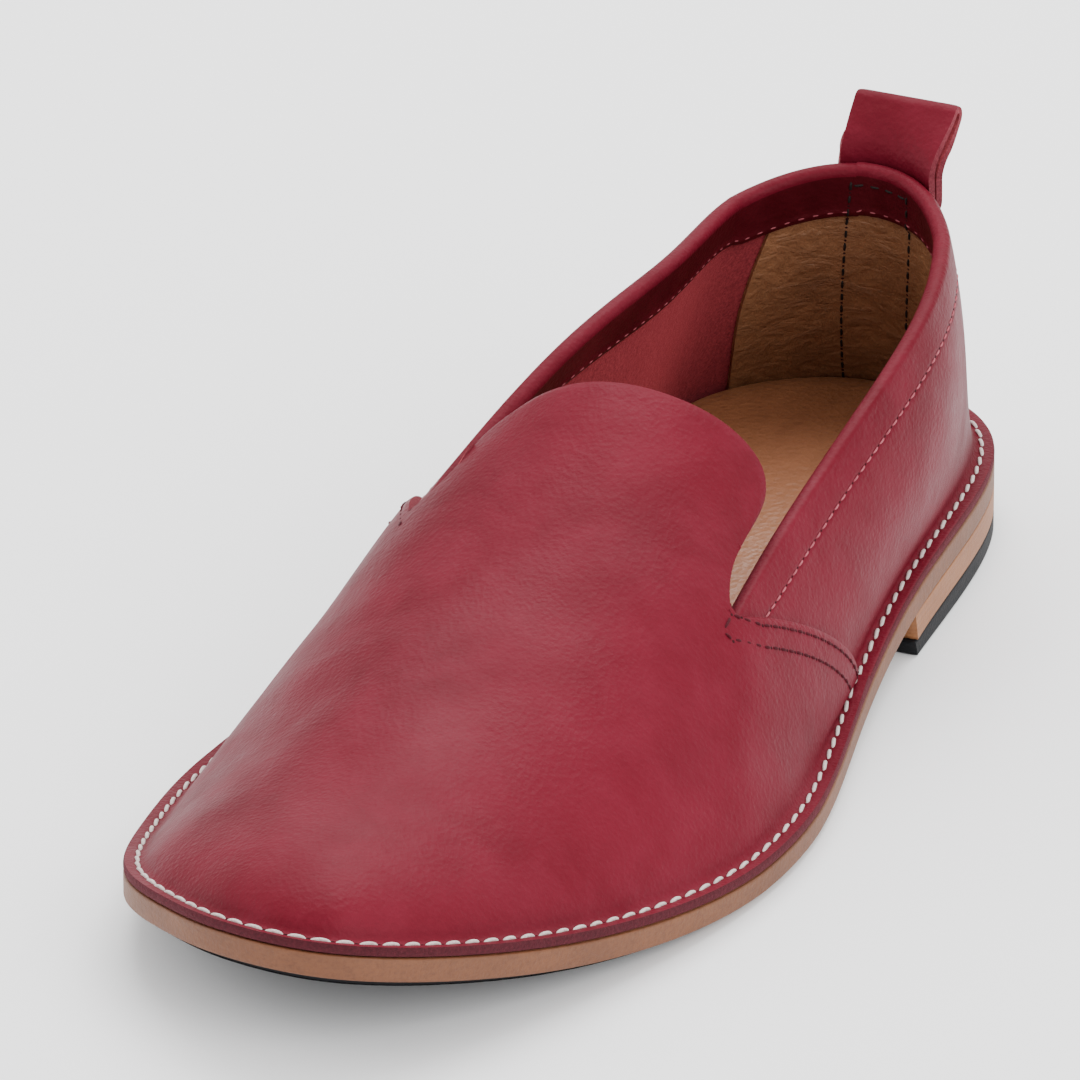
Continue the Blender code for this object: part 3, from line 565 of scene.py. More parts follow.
def rubber(name, colour):
    made, tree, shader, where = startMaterial(name, 0.62, 0.16)
    cloud = remap(tree, noise(tree, where, 120.0, 4.0, 0.6), 0.35, 0.70)
    pale = tuple(1.9 * c for c in colour)
    tree.links.new(tint(tree, cloud, 0.6, colour, pale), shader.inputs["Base Color"])
    bump(tree, shader, [(noise(tree, where, 1400.0, 3.0, 0.6), 1.0)], 0.00018)
    return made


def threadMaterial(name, light, dark, rough=0.7):
    made, tree, shader, where = startMaterial(name, rough, 0.12, 0.0, 0.3)
    fibre = remap(tree, noise(tree, where, 2600.0, 2.0, 0.6), 0.35, 0.65)
    tone = remap(tree, noise(tree, where, 160.0, 2.0, 0.5), 0.35, 0.65)
    colour = tint(tree, fibre, 0.55, light, dark)
    colour = tint(tree, tone, 0.25, colour, dark)
    tree.links.new(colour, shader.inputs["Base Color"])
    bump(tree, shader, [(noise(tree, where, 2200.0, 2.0, 0.6), 1.0)], 0.00012)
    return made


redOuter = redLeather("redOuter", redValues["mid"], redValues["deep"], redValues["pale"], redValues["rough"])
# the collar's folded band: the outer red leather with painted shade, darker because it lies inside the collar
redBandShaded = redLeather("redBandShaded", redValues["band"], (0.042, 0.0022, 0.0045), (0.092, 0.0078, 0.0125), 0.46)
redSuede = suedeLeather("redSuede", redValues["suede"], redValues["suedeDark"])
redEdge = suedeLeather("redEdge", redValues["edgePale"], redValues["edgeDark"], 1.2)
redEdgeDark = suedeLeather("redEdgeDark", (0.075, 0.010, 0.016), (0.034, 0.0045, 0.0075), 1.0)
soleEdge = tanLeather("soleEdge", (0.158, 0.053, 0.0165), (0.070, 0.0195, 0.0052), 0.62, 0.25)
liftEdge = tanLeather("liftEdge", (0.31, 0.126, 0.047), (0.16, 0.053, 0.018), 0.62, 0.75, 0.6)
soleUnderside = tanLeather("soleUnderside", (0.25, 0.115, 0.055), (0.14, 0.058, 0.024), 0.6, 0.0, 0.5)
# insole tan darkened overall: partly its own darker brown, partly painted shade from the quarters and vamp
insoleTanShaded = insoleLeather("insoleTanShaded", (0.34, 0.138, 0.062), (0.19, 0.070, 0.029))
liningTan = liningLeather("liningTan", (0.270, 0.125, 0.056), (0.115, 0.046, 0.020))
blackRubber = rubber("blackRubber", (0.0040, 0.0042, 0.0055))
whiteThread = threadMaterial("whiteThread", (0.62, 0.57, 0.54), (0.34, 0.24, 0.22))
redThread = threadMaterial("redThread", (0.060, 0.0030, 0.0080), (0.022, 0.001, 0.003))
pinkThread = threadMaterial("pinkThread", (0.38, 0.105, 0.125), (0.18, 0.030, 0.042))
blackThread = threadMaterial("blackThread", (0.020, 0.014, 0.013), (0.006, 0.005, 0.005))
# near-black for the stitch holes: painted shade inside each hole
holeShade = threadMaterial("holeShade", (0.030, 0.004, 0.006), (0.012, 0.002, 0.003), 0.9)
print("materials made")


def addPiece(name, points, faces, materials, zones=None, nodes=(), sharp=None):
    # a mesh piece in the shoe's frame; zones gives each face's material
    mesh = bpy.data.meshes.new(name)
    mesh.from_pydata(points.reshape(-1, 3).tolist(), [], [list(face) for face in faces])
    for made in materials:
        mesh.materials.append(made)
    if zones is not None:
        mesh.polygons.foreach_set("material_index", np.asarray(zones, np.int32))
    mesh.update()
    mesh.shade_smooth()
    if sharp is not None:
        mesh.set_sharp_from_angle(angle=np.radians(sharp))
    piece = bpy.data.objects.new(name, mesh)
    bpy.context.scene.collection.objects.link(piece)
    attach(piece, "root")
    if nodes:
        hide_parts(*nodes)
    return piece


def gridFaces(rows, columns, wrapRows=False, wrapColumns=False, turned=False):
    i = np.arange(rows if wrapRows else rows - 1)
    j = np.arange(columns if wrapColumns else columns - 1)
    a, b = [part.ravel() for part in np.meshgrid(i, j, indexing="ij")]
    c = (a + 1) % rows
    d = (b + 1) % columns
    quads = np.stack([a * columns + b, c * columns + b, c * columns + d, a * columns + d], 1)
    return quads[:, ::-1] if turned else quads


def sheetBody(name, outer, inner, flangeEdge, rimEdge, materials, zoneOf, nodes=(), sharp=40.0):
    # closed sheet: columns of outer and inner points joined by edge points at both ends, and capped
    loops = np.concatenate([flangeEdge, outer, rimEdge, inner[:, ::-1]], 1)
    columns, size = loops.shape[:2]
    e, k, r = flangeEdge.shape[1], outer.shape[1], rimEdge.shape[1]
    faces = gridFaces(columns, size, False, True, True)
    zones = np.tile(zoneOf, columns - 1)
    low = np.arange(k - 1)
    caps = []
    for base, turn in ((0, False), ((columns - 1) * size, True)):
        a = base + e + low
        b = base + e + k + r + (k - 1 - low)
        quads = np.stack([a, a + 1, b - 1, b], 1)
        caps.append(quads[:, ::-1] if turn else quads)
        ends = [
            [base + size - 1] + list(range(base, base + e)) + [base + e],
            [base + e + k - 1] + list(range(base + e + k, base + e + k + r)) + [base + e + k + r],
        ]
        for end in ends:
            caps.append([end[::-1]] if turn else [end])
    every = [list(face) for face in faces] + [list(face) for group in caps for face in group]
    zones = list(zones) + [1] * (len(every) - len(faces))
    return addPiece(name, toWorld(loops), every, materials, zones, nodes, sharp)


def beside(feet, distance, height):
    # points beside the feather line: distance outwards in plan, height over the flange's top
    plan = onRing(feather, feet) + onRing(featherOut, feet) * np.asarray(distance)[..., None]
    return np.concatenate([plan, (featherZ(plan[..., 0]) + height)[..., None]], -1)


flangeValues = {
    "stitchOut": 0.0015, "groove": 0.00022, "grooveWidth": 0.00045, "under": 0.00195,
    "lapLift": 0.0009, "lapFade": 0.013,
}


def flangeRows(feet, lifted, wallPoints, thickness):
    # top and bottom points of the turned-out flange and the bend up into the wall, outermost first
    width = shoe["flangeWidth"]
    under = flangeValues["under"]
    reach = np.array([0.93, 0.80, 0.66, 0.55, 0.46, 0.39, 0.35, 0.31, 0.25]) * width
    dip = -flangeValues["groove"] * bell(reach, flangeValues["stitchOut"], flangeValues["grooveWidth"])
    top = np.stack([beside(feet, np.full(len(feet), d), lifted + h) for d, h in zip(reach, dip)], 1)
    start = top[:, -1]
    bendAt = beside(feet, np.full(len(feet), 0.00005), lifted + 0.0001)
    s = np.array([0.2, 0.4, 0.6, 0.8])[None, :, None]
    # quadratic bend from the flange to the first wall point
    bendRows = (1 - s) ** 2 * start[:, None] + 2 * s * (1 - s) * bendAt[:, None]
    bendRows = bendRows + s * s * wallPoints[:, None]
    low = np.stack([beside(feet, np.full(len(feet), d), -under + 0 * lifted) for d in reach], 1)
    innerStart = beside(feet, np.full(len(feet), -0.55 * thickness), -under + 0 * lifted)
    innerRows = low[:, -1:] * (1 - s) + innerStart[:, None] * s
    outerPart = np.concatenate([top, bendRows], 1)
    innerPart = np.concatenate([low, innerRows], 1)
    edge = []
    for turn in np.radians([-60, -25, 10, 45]):
        high = 0.5 * (lifted - 0.0001 - under) + 0.5 * (lifted + under) * np.sin(turn)
        edge.append(beside(feet, np.full(len(feet), width * 0.93 + width * 0.07 * np.cos(turn)), high))
    return outerPart, innerPart, np.stack(edge, 1)


# Vamp: one sheet from the outer seam round the toe to the inner seam, lapped over the quarters
vampValues = {"columns": 330, "rows": 104, "thickness": 0.0020, "edgeDrop": 0.00035, "edgeRun": 0.0005}
# Soft creases and swells: share of the length, share of the ball width, half length and half width
# in metres, degrees from the shoe's axis, height in metres
creaseRows = np.array([
    (0.560, 0.300, 0.030, 0.0060, 12.0, -0.00055),
    (0.600, 0.385, 0.026, 0.0055, 25.0, 0.00045),
    (0.545, -0.250, 0.030, 0.0060, -12.0, -0.00050),
    (0.640, 0.020, 0.040, 0.0130, 8.0, -0.00040),
    (0.735, -0.110, 0.036, 0.0100, -22.0, 0.00040),
    (0.800, 0.140, 0.030, 0.0090, 30.0, -0.00035),
    (0.870, -0.060, 0.026, 0.0100, -60.0, 0.00035),
    (0.480, 0.150, 0.014, 0.0040, -30.0, -0.00025),
])


def creases(points):
    # sum of long soft bells, each turned to its own direction in plan
    total = np.zeros(points.shape[:-1])
    for t, x, along, across, angle, height in creaseRows:
        turn = np.radians(angle)
        dt = points[..., 0] - t * length
        dx = points[..., 1] - x * ballWidth
        u = (dt * np.cos(turn) + dx * np.sin(turn)) / along
        v = (dx * np.cos(turn) - dt * np.sin(turn)) / across
        total += height * np.exp(-u * u - v * v)
    return total


def nearest(points, line):
    # distance of every point to the nearest point of a line
    flat = points.reshape(-1, 3)
    best = np.full(len(flat), 1.0)
    for part in range(0, len(line), 8):
        away = np.linalg.norm(flat[:, None] - line[None, part : part + 8], axis=2).min(1)
        best = np.minimum(best, away)
    return best.reshape(points.shape[:-1])


evenVamp = np.concatenate([
    [0.0, 0.0012, 0.0028, 0.0050, 0.0078],
    np.linspace(0.011, 0.989, vampValues["columns"]),
    [0.9922, 0.9950, 0.9972, 0.9988, 1.0],
])
vampPlan = vampColumns(evenVamp)
vampDense, vampSpan = fineWall(vampPlan)
vampHigh = vampSpan[:, -1]
rowShare = np.linspace(0, 1, vampValues["rows"]) ** 1.15
firstRise = 0.0017
vampWant = firstRise + (vampHigh[:, None] - firstRise) * rowShare[None]
vampWall = sampleWall(vampDense, vampSpan, vampWant)
vampOut = wallNormal(vampWall)
edgeAway = np.minimum(nearest(vampWall, vampWall[0]), nearest(vampWall, vampWall[-1]))
vampLap = shoe["leather"] * (1 - ease(edgeAway / shoe["lapRun"]))
rimAway = vampHigh[:, None] - vampWant
vampRaise = vampLap + creases(vampWall)
vampRaise -= vampValues["edgeDrop"] * np.exp(-((edgeAway / vampValues["edgeRun"]) ** 2))
vampRaise -= vampValues["edgeDrop"] * np.exp(-((rimAway / vampValues["edgeRun"]) ** 2))
vampOuter = vampWall + vampOut * vampRaise[..., None]
vampInner = vampWall + vampOut * (vampLap - vampValues["thickness"])[..., None]
footAway = np.minimum(evenVamp, 1 - evenVamp) * (innerFoot - outerFoot) * featherLength
vampLift = flangeValues["lapLift"] * (1 - ease(footAway / flangeValues["lapFade"]))
flangeTop, flangeLow, flangeEdge = flangeRows(vampPlan[0], vampLift, vampOuter[:, 0], shoe["leather"])
rimUp = unit(vampWall[:, -1:] - vampWall[:, -3:-2])
# share of the outer face and rise of the raw edge's two rows
vampRim = np.concatenate([
    share * vampOuter[:, -1:] + (1 - share) * vampInner[:, -1:] + rimUp * rise
    for share, rise in ((0.72, 0.00018), (0.10, 0.00012))
], 1)
outerPath = np.concatenate([flangeTop, vampOuter], 1)
innerPath = np.concatenate([flangeLow, vampInner], 1)
k = outerPath.shape[1]
zoneOf = np.array([3] * 4 + [0] * (k - 1) + [1] * 3 + [2] * (k - 1) + [3])
sheetBody(
    "vampSheet", outerPath, innerPath, flangeEdge, vampRim,
    [redOuter, redEdge, redSuede, redEdgeDark], zoneOf, ("upper",), 50.0,
)
print("vamp made")

# Quarters: one sheet round the heel, its collar folded inwards over itself
quarterValues = {
    "columns": 380, "lowRows": 56, "bandRows": 46, "bandZone": 0.0165, "thickness": 0.0018,
    "foldThick": 0.0036, "foldDepth": 0.0118, "foldEdge": 0.0004, "stitchDepth": 0.0105, "under": 0.085,
    "halfRun": 0.124, "sink": 0.0018, "clear": 0.00015, "stitchTrough": 0.00022,
}
quarterStep = np.linspace(-1 - quarterValues["under"], 1 + quarterValues["under"], quarterValues["columns"])
quarterPlan = quarterColumns(quarterStep)
quarterDense, quarterSpan = fineWall(quarterPlan)
quarterHigh = quarterSpan[:, -1]
foldRadius = 0.5 * quarterValues["foldThick"]
lowShare = np.linspace(0, 1, quarterValues["lowRows"], endpoint=False)
bandShare = np.linspace(0, 1, quarterValues["bandRows"])
zoneStart = quarterHigh - quarterValues["bandZone"]
quarterWant = np.concatenate([
    firstRise + (zoneStart[:, None] - firstRise) * lowShare,
    zoneStart[:, None] + (quarterValues["bandZone"] - foldRadius) * bandShare[None],
], 1)
quarterWall = sampleWall(quarterDense, quarterSpan, quarterWant)
quarterOut = wallNormal(quarterWall)
topAway = quarterHigh[:, None] - quarterWant
# distance past the side seam, where the quarter sinks under the vamp
seamAway = (np.abs(quarterStep) - 1) * quarterValues["halfRun"]
sunk = ease(seamAway / shoe["lapRun"] * 1.6) * quarterValues["sink"]
sunk = -(sunk + quarterValues["clear"] * (seamAway > 0))[:, None]
quarterRaise = np.where(seamAway[:, None] > 0, sunk, 0.0)
trough = bell(topAway, quarterValues["stitchDepth"], 0.0006)
quarterRaise = quarterRaise - quarterValues["stitchTrough"] * trough
quarterOuter = quarterWall + quarterOut * quarterRaise[..., None]
fold = 1 - ease((topAway - quarterValues["foldDepth"]) / quarterValues["foldEdge"])
thick = quarterValues["thickness"] + (quarterValues["foldThick"] - quarterValues["thickness"]) * fold
quarterInner = quarterWall + quarterOut * (np.minimum(quarterRaise, 0) - thick)[..., None]
topUp = unit(quarterWall[:, -1] - quarterWall[:, -4])
foldMiddle = 0.5 * (quarterOuter[:, -1] + quarterInner[:, -1])
foldHalf = 0.5 * np.linalg.norm(quarterOuter[:, -1] - quarterInner[:, -1], axis=1, keepdims=True)
# half round of the folded edge from the outer face to the inner
quarterRim = np.stack([
    foldMiddle + foldHalf * (quarterOut[:, -1] * np.cos(turn) + topUp * np.sin(turn))
    for turn in np.radians(np.linspace(18, 162, 9))
], 1)
quarterFeet = quarterPlan[0]
quarterLift = -0.0001 * (seamAway > 0)
flangeTop, flangeLow, flangeEdge = flangeRows(
    quarterFeet, quarterLift, quarterOuter[:, 0], quarterValues["thickness"],
)
outerPath = np.concatenate([flangeTop, quarterOuter], 1)
innerPath = np.concatenate([flangeLow, quarterInner], 1)
k = outerPath.shape[1]
inBand = (topAway[len(quarterStep) // 2] < quarterValues["foldDepth"] + 0.0006)[1:]
innerZones = np.array([2] * (k - 1))
innerZones[: inBand.sum()] = 4
zoneOf = np.array([3] * 4 + [0] * (k - 1) + [0] * 10 + list(innerZones) + [3])
sheetBody(
    "quarterSheet", outerPath, innerPath, flangeEdge, quarterRim,
    [redOuter, redEdge, redSuede, redEdgeDark, redBandShaded], zoneOf, (), 60.0,
)
print("quarters made")

# Heel lining inside the quarters, with an S-shaped front edge on each side
liningValues = {
    "columns": 170, "rows": 54, "thickness": 0.0008, "topDepth": 0.008, "foot": 0.0012, "behind": 0.0001,
    "reach": 0.7, "dense": 240,
}
# height share from the insole up, and how far forward the front edge runs, as a share of the quarter's step
liningFront = np.array([(0.0, 0.262), (0.25, 0.278), (0.5, 0.285), (0.75, 0.262), (1.0, 0.212)])
liningAcross = np.linspace(-1, 1, liningValues["columns"])
liningUp = np.linspace(0, 1, liningValues["rows"])
frontStep = smooth(liningFront[:, 0], liningFront[:, 1], liningUp)
liningStep = liningAcross[:, None] * frontStep[None]
liningColumns = np.linspace(-liningValues["reach"], liningValues["reach"], liningValues["dense"])
liningDense, liningSpan = fineWall(quarterColumns(liningColumns), 260)
liningTop = liningSpan[:, -1] - liningValues["topDepth"]
liningWant = liningValues["foot"] + (liningTop[:, None] - liningValues["foot"]) * liningUp[None]
liningGrid = sampleWall(liningDense, liningSpan, liningWant)
liningNormal = wallNormal(liningGrid)
columnAt = (liningStep + liningValues["reach"]) / (2 * liningValues["reach"]) * (liningValues["dense"] - 1)
lowColumn = np.clip(np.floor(columnAt).astype(int), 0, liningValues["dense"] - 2)
part = (columnAt - lowColumn)[..., None]
rowAt = np.arange(liningValues["rows"])[None]
liningBase = liningGrid[lowColumn, rowAt] * (1 - part) + liningGrid[lowColumn + 1, rowAt] * part
liningOut = unit(liningNormal[lowColumn, rowAt] * (1 - part) + liningNormal[lowColumn + 1, rowAt] * part)
outerSide = liningBase - liningOut * (quarterValues["thickness"] + liningValues["behind"])
innerSide = outerSide - liningOut * liningValues["thickness"]
liningBody = np.concatenate([outerSide, innerSide[:, ::-1]], 1)
liningFaces = [list(face) for face in gridFaces(len(liningBody), liningBody.shape[1], False, True, True)]
size = liningBody.shape[1]
low = np.arange(liningValues["rows"] - 1)
for base, turn in ((0, False), ((len(liningBody) - 1) * size, True)):
    quads = np.stack([base + low, base + low + 1, base + size - 2 - low, base + size - 1 - low], 1)
    liningFaces += [list(face) for face in (quads[:, ::-1] if turn else quads)]
addPiece("counterLining", toWorld(liningBody), liningFaces, [liningTan], None, (), 50.0)
print("lining made")


# Soles: rings of points from the middle of the underside over the edge to the middle of the top
def ringSlab(
    name, ring, centre, low, high, materials, node, roundness=0.0005, lean=None, sideRows=6
):
    # zone 0 is the side, zone 1 the two flats; lean shifts the side along the shoe with its height
    tangent = unit(np.roll(ring, -1, 0) - np.roll(ring, 1, 0))
    outward = np.stack([-tangent[:, 1], tangent[:, 0]], 1)
    loops = []

    def level(plan, share):
        bottom, top = low(plan[:, 0]), high(plan[:, 0])
        shifted = plan.copy()
        if lean is not None:
            shifted[:, 0] += lean(plan, share)
        return np.concatenate([shifted, (bottom + (top - bottom) * share)[:, None]], 1)

    thick = float(np.median(high(ring[:, 0]) - low(ring[:, 0])))
    cut = roundness / thick
    middles = np.array([0.0, 0.3, 0.6, 0.85])
    for m in middles:
        loops.append(level(centre + (ring - centre) * m, 0.0))
    for turn in np.radians([0, 30, 60, 90]):
        inward = roundness * (1 - np.sin(turn))
        loops.append(level(ring - outward * inward, cut * (1 - np.cos(turn))))
    for share in np.linspace(cut, 1 - cut, sideRows + 2)[1:-1]:
        loops.append(level(ring, share))
    for turn in np.radians([90, 60, 30, 0]):
        inward = roundness * (1 - np.sin(turn))
        loops.append(level(ring - outward * inward, 1 - cut * (1 - np.cos(turn))))
    for m in middles[::-1]:
        loops.append(level(centre + (ring - centre) * m, 1.0))
    body = np.stack(loops, 1)
    rows, size = body.shape[:2]
    faces = gridFaces(rows, size, True, False, True)
    j = np.arange(size - 1)
    flat = len(middles)
    zones = np.tile(np.where((j < flat) | (j >= size - 1 - flat), 1, 0), rows)
    return addPiece(name, toWorld(body), faces, materials, zones, (node,), 50.0)


edgeRing = makeRing(0.0, 900)


def middleOf(ring, low, high):
    t = np.clip(ring[:, 0], low, high)
    return np.stack([t, crown(t) * 0.6], 1)


ringSlab(
    "outsoleEdge", edgeRing, middleOf(edgeRing, 0.045, 0.235), soleUnder, soleTop,
    [soleEdge, soleUnderside], "outsole", 0.0005,
)


def cutRing(inset, cutT, rear):
    # part of the sole's plan behind or ahead of a straight cut across it
    ring = makeRing(inset, 900)
    keep = ring[ring[:, 0] < cutT] if rear else ring[ring[:, 0] > cutT]
    order = np.argsort(np.arctan2(keep[:, 1], (keep[:, 0] - cutT) * (-1 if rear else 1)))
    keep = keep[order]
    line = np.linspace(keep[-1][1], keep[0][1], 60)[1:-1]
    straight = np.stack([np.full(len(line), cutT), line], 1)
    return np.vstack([keep, straight])


def heelLean(plan, share):
    # the breast slopes forward towards the outsole
    near = ease((plan[:, 0] - (shoe["heelLength"] - 0.012)) / 0.012)
    return near * share * shoe["breastSlope"] * shoe["lift"] / shoe["heelHeight"]


heelRing = cutRing(0.0, shoe["heelLength"], True)
heelMiddle = np.tile([[0.048, 0.0]], (len(heelRing), 1))


def liftLow(t):
    return soleUnder(t) - shoe["gap"] - shoe["lift"]


ringSlab(
    "heelLift", heelRing, heelMiddle, liftLow, lambda t: soleUnder(t) - 0.00004,
    [liftEdge, soleUnderside], "heel_lift", 0.00030, heelLean,
)
ringSlab(
    "heelRubber", heelRing, heelMiddle, lambda t: 0 * t, lambda t: liftLow(t) - 0.00005,
    [blackRubber, blackRubber], "heel_top_piece", 0.0005, heelLean,
)
treadRing = cutRing(shoe["treadInset"], shoe["heelLength"] + shoe["treadAhead"], False)
treadMiddle = middleOf(treadRing, 0.120, 0.235)
ringSlab(
    "forefootTread", treadRing, treadMiddle,
    lambda t: soleUnder(t) - shoe["gap"] - shoe["tread"], lambda t: soleUnder(t) - 0.0001,
    [blackRubber, blackRubber], "forefoot_tread", 0.0003, None, 3,
)
insoleValues = {"thickness": 0.0030, "heelPad": 0.0025, "padLength": 0.125, "inset": 0.0030, "lean": 0.35}


def insoleThick(t):
    # thicker under the heel, easing to none at the pad's length
    rear = np.clip(1 - t / insoleValues["padLength"], 0, 1)
    return insoleValues["thickness"] + insoleValues["heelPad"] * rear * rear * (3 - 2 * rear)


insoleRing = makeRing(shoe["flangeWidth"] + insoleValues["inset"], 700)
insoleAlong = unit(np.roll(insoleRing, -1, 0) - np.roll(insoleRing, 1, 0))
insoleOut = np.stack([-insoleAlong[:, 1], insoleAlong[:, 0]], 1)
insoleRing = insoleRing - insoleOut * (insoleValues["lean"] * insoleThick(insoleRing[:, 0]))[:, None]
ringSlab(
    "insoleSock", insoleRing, middleOf(insoleRing, 0.045, 0.235),
    lambda t: soleTop(t) + shoe["gap"], lambda t: soleTop(t) + shoe["gap"] + insoleThick(t),
    [insoleTanShaded, insoleTanShaded], "insole", 0.0006, None, 3,
)
print("soles made")


# Stitches: each one a small spindle that rises out of the leather between two holes
def resample(points, normals, pitch):
    span = np.concatenate([[0.0], np.cumsum(np.linalg.norm(np.diff(points, axis=0), axis=1))])
    count = max(int(span[-1] / pitch), 1)
    at = (np.arange(count) + 0.5) * span[-1] / count
    spot = np.stack([np.interp(at, span, points[:, n]) for n in range(3)], 1)
    up = unit(np.stack([np.interp(at, span, normals[:, n]) for n in range(3)], 1))
    ahead = np.stack([np.interp(at + 0.0004, span, points[:, n]) for n in range(3)], 1)
    behind = np.stack([np.interp(at - 0.0004, span, points[:, n]) for n in range(3)], 1)
    return spot, unit(ahead - behind), up, span[-1] / count


def stitchRow(name, points, normals, made, look, holes=None):
    # spindle radius falls to its ends by the root of 1 - s^4, its axis rises by 1 - s^2
    spot, along, up, pitch = resample(points, normals, look["pitch"])
    side = unit(np.cross(up, along))
    up = np.cross(along, side)
    skew = np.radians(look.get("skew", 0.0))
    along, side = along * np.cos(skew) + side * np.sin(skew), side * np.cos(skew) - along * np.sin(skew)
    wobble = np.sin(np.arange(len(spot)) * 2.399 + 0.7)[:, None]
    s = np.linspace(-1, 1, 9)
    radius = look["radius"] * np.maximum(1 - s**4, 0.0) ** 0.5 + 0.00002
    lift = look["lift"] * (1 - s * s) - look["sink"]
    turn = np.linspace(0, 2 * np.pi, 8, endpoint=False)
    half = 0.5 * pitch * look["fill"] * (1 + 0.06 * wobble)
    axis = spot[:, None] + along[:, None] * (half[:, None] * s[None, :, None])
    axis = axis + up[:, None] * lift[None, :, None]
    axis = axis + side[:, None] * (0.05 * look["radius"] * wobble)[:, None]
    ringOut = side[:, None, None] * np.cos(turn)[None, None, :, None] * look.get("flat", 1.0)
    ringOut = ringOut + up[:, None, None] * np.sin(turn)[None, None, :, None]
    body = axis[:, :, None] + ringOut * radius[None, :, None, None]
    quads = gridFaces(len(s), len(turn), False, True, True)
    faces = (quads[None] + (np.arange(len(spot)) * len(s) * len(turn))[:, None, None]).reshape(-1, 4)
    addPiece(name, toWorld(body), faces, [made])
    if holes is None:
        return
    # holes: flat dark lenses between the stitches, painted shade of the holes in the leather
    place = spot - along * 0.5 * pitch
    ringRadius = np.array([0.0, 0.6, 1.0]) * look["hole"]
    ringHigh = np.array([0.00004, 0.00003, -0.00005])
    lens = (
        place[:, None, None]
        + (side[:, None, None] * np.cos(turn)[None, None, :, None]
           + along[:, None, None] * np.sin(turn)[None, None, :, None]) * ringRadius[None, :, None, None]
        + up[:, None, None] * ringHigh[None, :, None, None]
    )
    quads = gridFaces(len(ringRadius), len(turn), False, True, True)
    faces = (quads[None] + (np.arange(len(place)) * lens[0, :, :, 0].size)[:, None, None]).reshape(-1, 4)
    addPiece(name + "Holes", toWorld(lens), faces, [holes])


def flangeLine():
    # line of the flange's stitches, once round from the heel back, lifted at the laps
    feet = np.linspace(0, 1, 1600)
    fromOuter = np.abs(feet - outerFoot) * featherLength
    fromInner = np.abs(feet - innerFoot) * featherLength
    lapped = (feet > outerFoot) & (feet < innerFoot)
    lifted = flangeValues["lapLift"] * (1 - ease(np.minimum(fromOuter, fromInner) / flangeValues["lapFade"]))
    lifted = np.where(lapped, lifted, 0.0) - flangeValues["groove"]
    points = beside(feet, np.full(len(feet), flangeValues["stitchOut"]), lifted)
    return points, np.tile([[0.0, 0.0, 1.0]], (len(points), 1))


flangeStitch = {
    "pitch": 0.0046, "radius": 0.00038, "lift": 0.00046, "sink": 0.00016, "fill": 0.90,
    "skew": 7.0, "flat": 1.05, "hole": 0.0005,
}
linePoints, lineNormals = flangeLine()
stitchRow("flangeStitches", linePoints, lineNormals, whiteThread, flangeStitch, holeShade)


vampStitch = {
    "pitch": 0.0029, "radius": 0.00022, "lift": 0.00022, "sink": 0.00008, "fill": 0.66,
    "hole": 0.00042, "flat": 1.2,
    "rows": (0.0018, 0.0062), "topGap": 0.0022, "columns": 120,
}


def offsetSeam(side, away):
    # line on the vamp at a set distance from its raw edge, found on the made grid column by column
    edge = vampWall[0] if side > 0 else vampWall[-1]
    count = vampStitch["columns"]
    columns = slice(0, count) if side > 0 else slice(-count, None)
    near = nearest(vampWall[columns], edge)
    rows = near.shape[1]
    line = []
    normals = []
    for j in range(2, rows):
        column = near[:, j] if side > 0 else near[::-1, j]
        grid = vampOuter[columns][:, j] if side > 0 else vampOuter[columns][::-1, j]
        out = vampOut[columns][:, j] if side > 0 else vampOut[columns][::-1, j]
        if column.max() < away:
            continue
        line.append([np.interp(away, np.maximum.accumulate(column), grid[:, n]) for n in range(3)])
        normals.append([np.interp(away, np.maximum.accumulate(column), out[:, n]) for n in range(3)])
    line, normals = np.array(line), np.array(normals)
    depth = nearest(line[None], vampWall[columns][:, -1])[0]
    keep = depth > vampStitch["topGap"]
    return line[keep], normals[keep]


for side, word in ((1, "Outer"), (-1, "Inner")):
    rows = []
    notchCorner = vampWall[0 if side > 0 else -1][-1]
    for number, away in enumerate(vampStitch["rows"], 1):
        seamLine, seamNormals = offsetSeam(side, away)
        # both rows end side by side at the notch
        last = np.argmin(np.linalg.norm(seamLine - notchCorner, axis=1)) + 1
        seamLine, seamNormals = seamLine[:last], seamNormals[:last]
        stitchRow("vampStitches%s%d" % (word, number), seamLine, seamNormals, redThread, vampStitch, holeShade)
        rows.append((seamLine[-1], seamNormals[-1]))
    boxLine = np.linspace(rows[0][0], rows[1][0], 12)
    boxNormals = np.linspace(rows[0][1], rows[1][1], 12)
    stitchRow("vampStitches%sEnd" % word, boxLine, boxNormals, redThread, vampStitch, holeShade)

collarStitch = {
    "pitch": 0.0030, "radius": 0.00016, "lift": 0.00016, "sink": 0.00005, "fill": 0.66,
    "hole": 0.00030, "flat": 1.2,
}


def collarLine(depth, inside, limit=0.995):
    # line round the quarters at a depth below the topline, on the outer or the folded inner face
    steps = np.linspace(-limit, limit, 700)
    points, span = fineWall(quarterColumns(steps), 260)
    want = span[:, -1:] - depth
    pair = sampleWall(points, span, np.concatenate([want - 0.001, want, want + 0.001], 1))
    normal = wallNormal(pair)[:, 1]
    spot = pair[:, 1]
    if inside:
        return spot - normal * quarterValues["foldThick"], -normal
    return spot - normal * 0.00016, normal


collarPoints, collarNormals = collarLine(quarterValues["stitchDepth"], False)
stitchRow("collarStitches", collarPoints, collarNormals, pinkThread, collarStitch, holeShade)
collarPoints, collarNormals = collarLine(quarterValues["stitchDepth"], True, 1.03)
stitchRow("foldStitches", collarPoints, collarNormals, pinkThread, collarStitch)
print("stitches made")

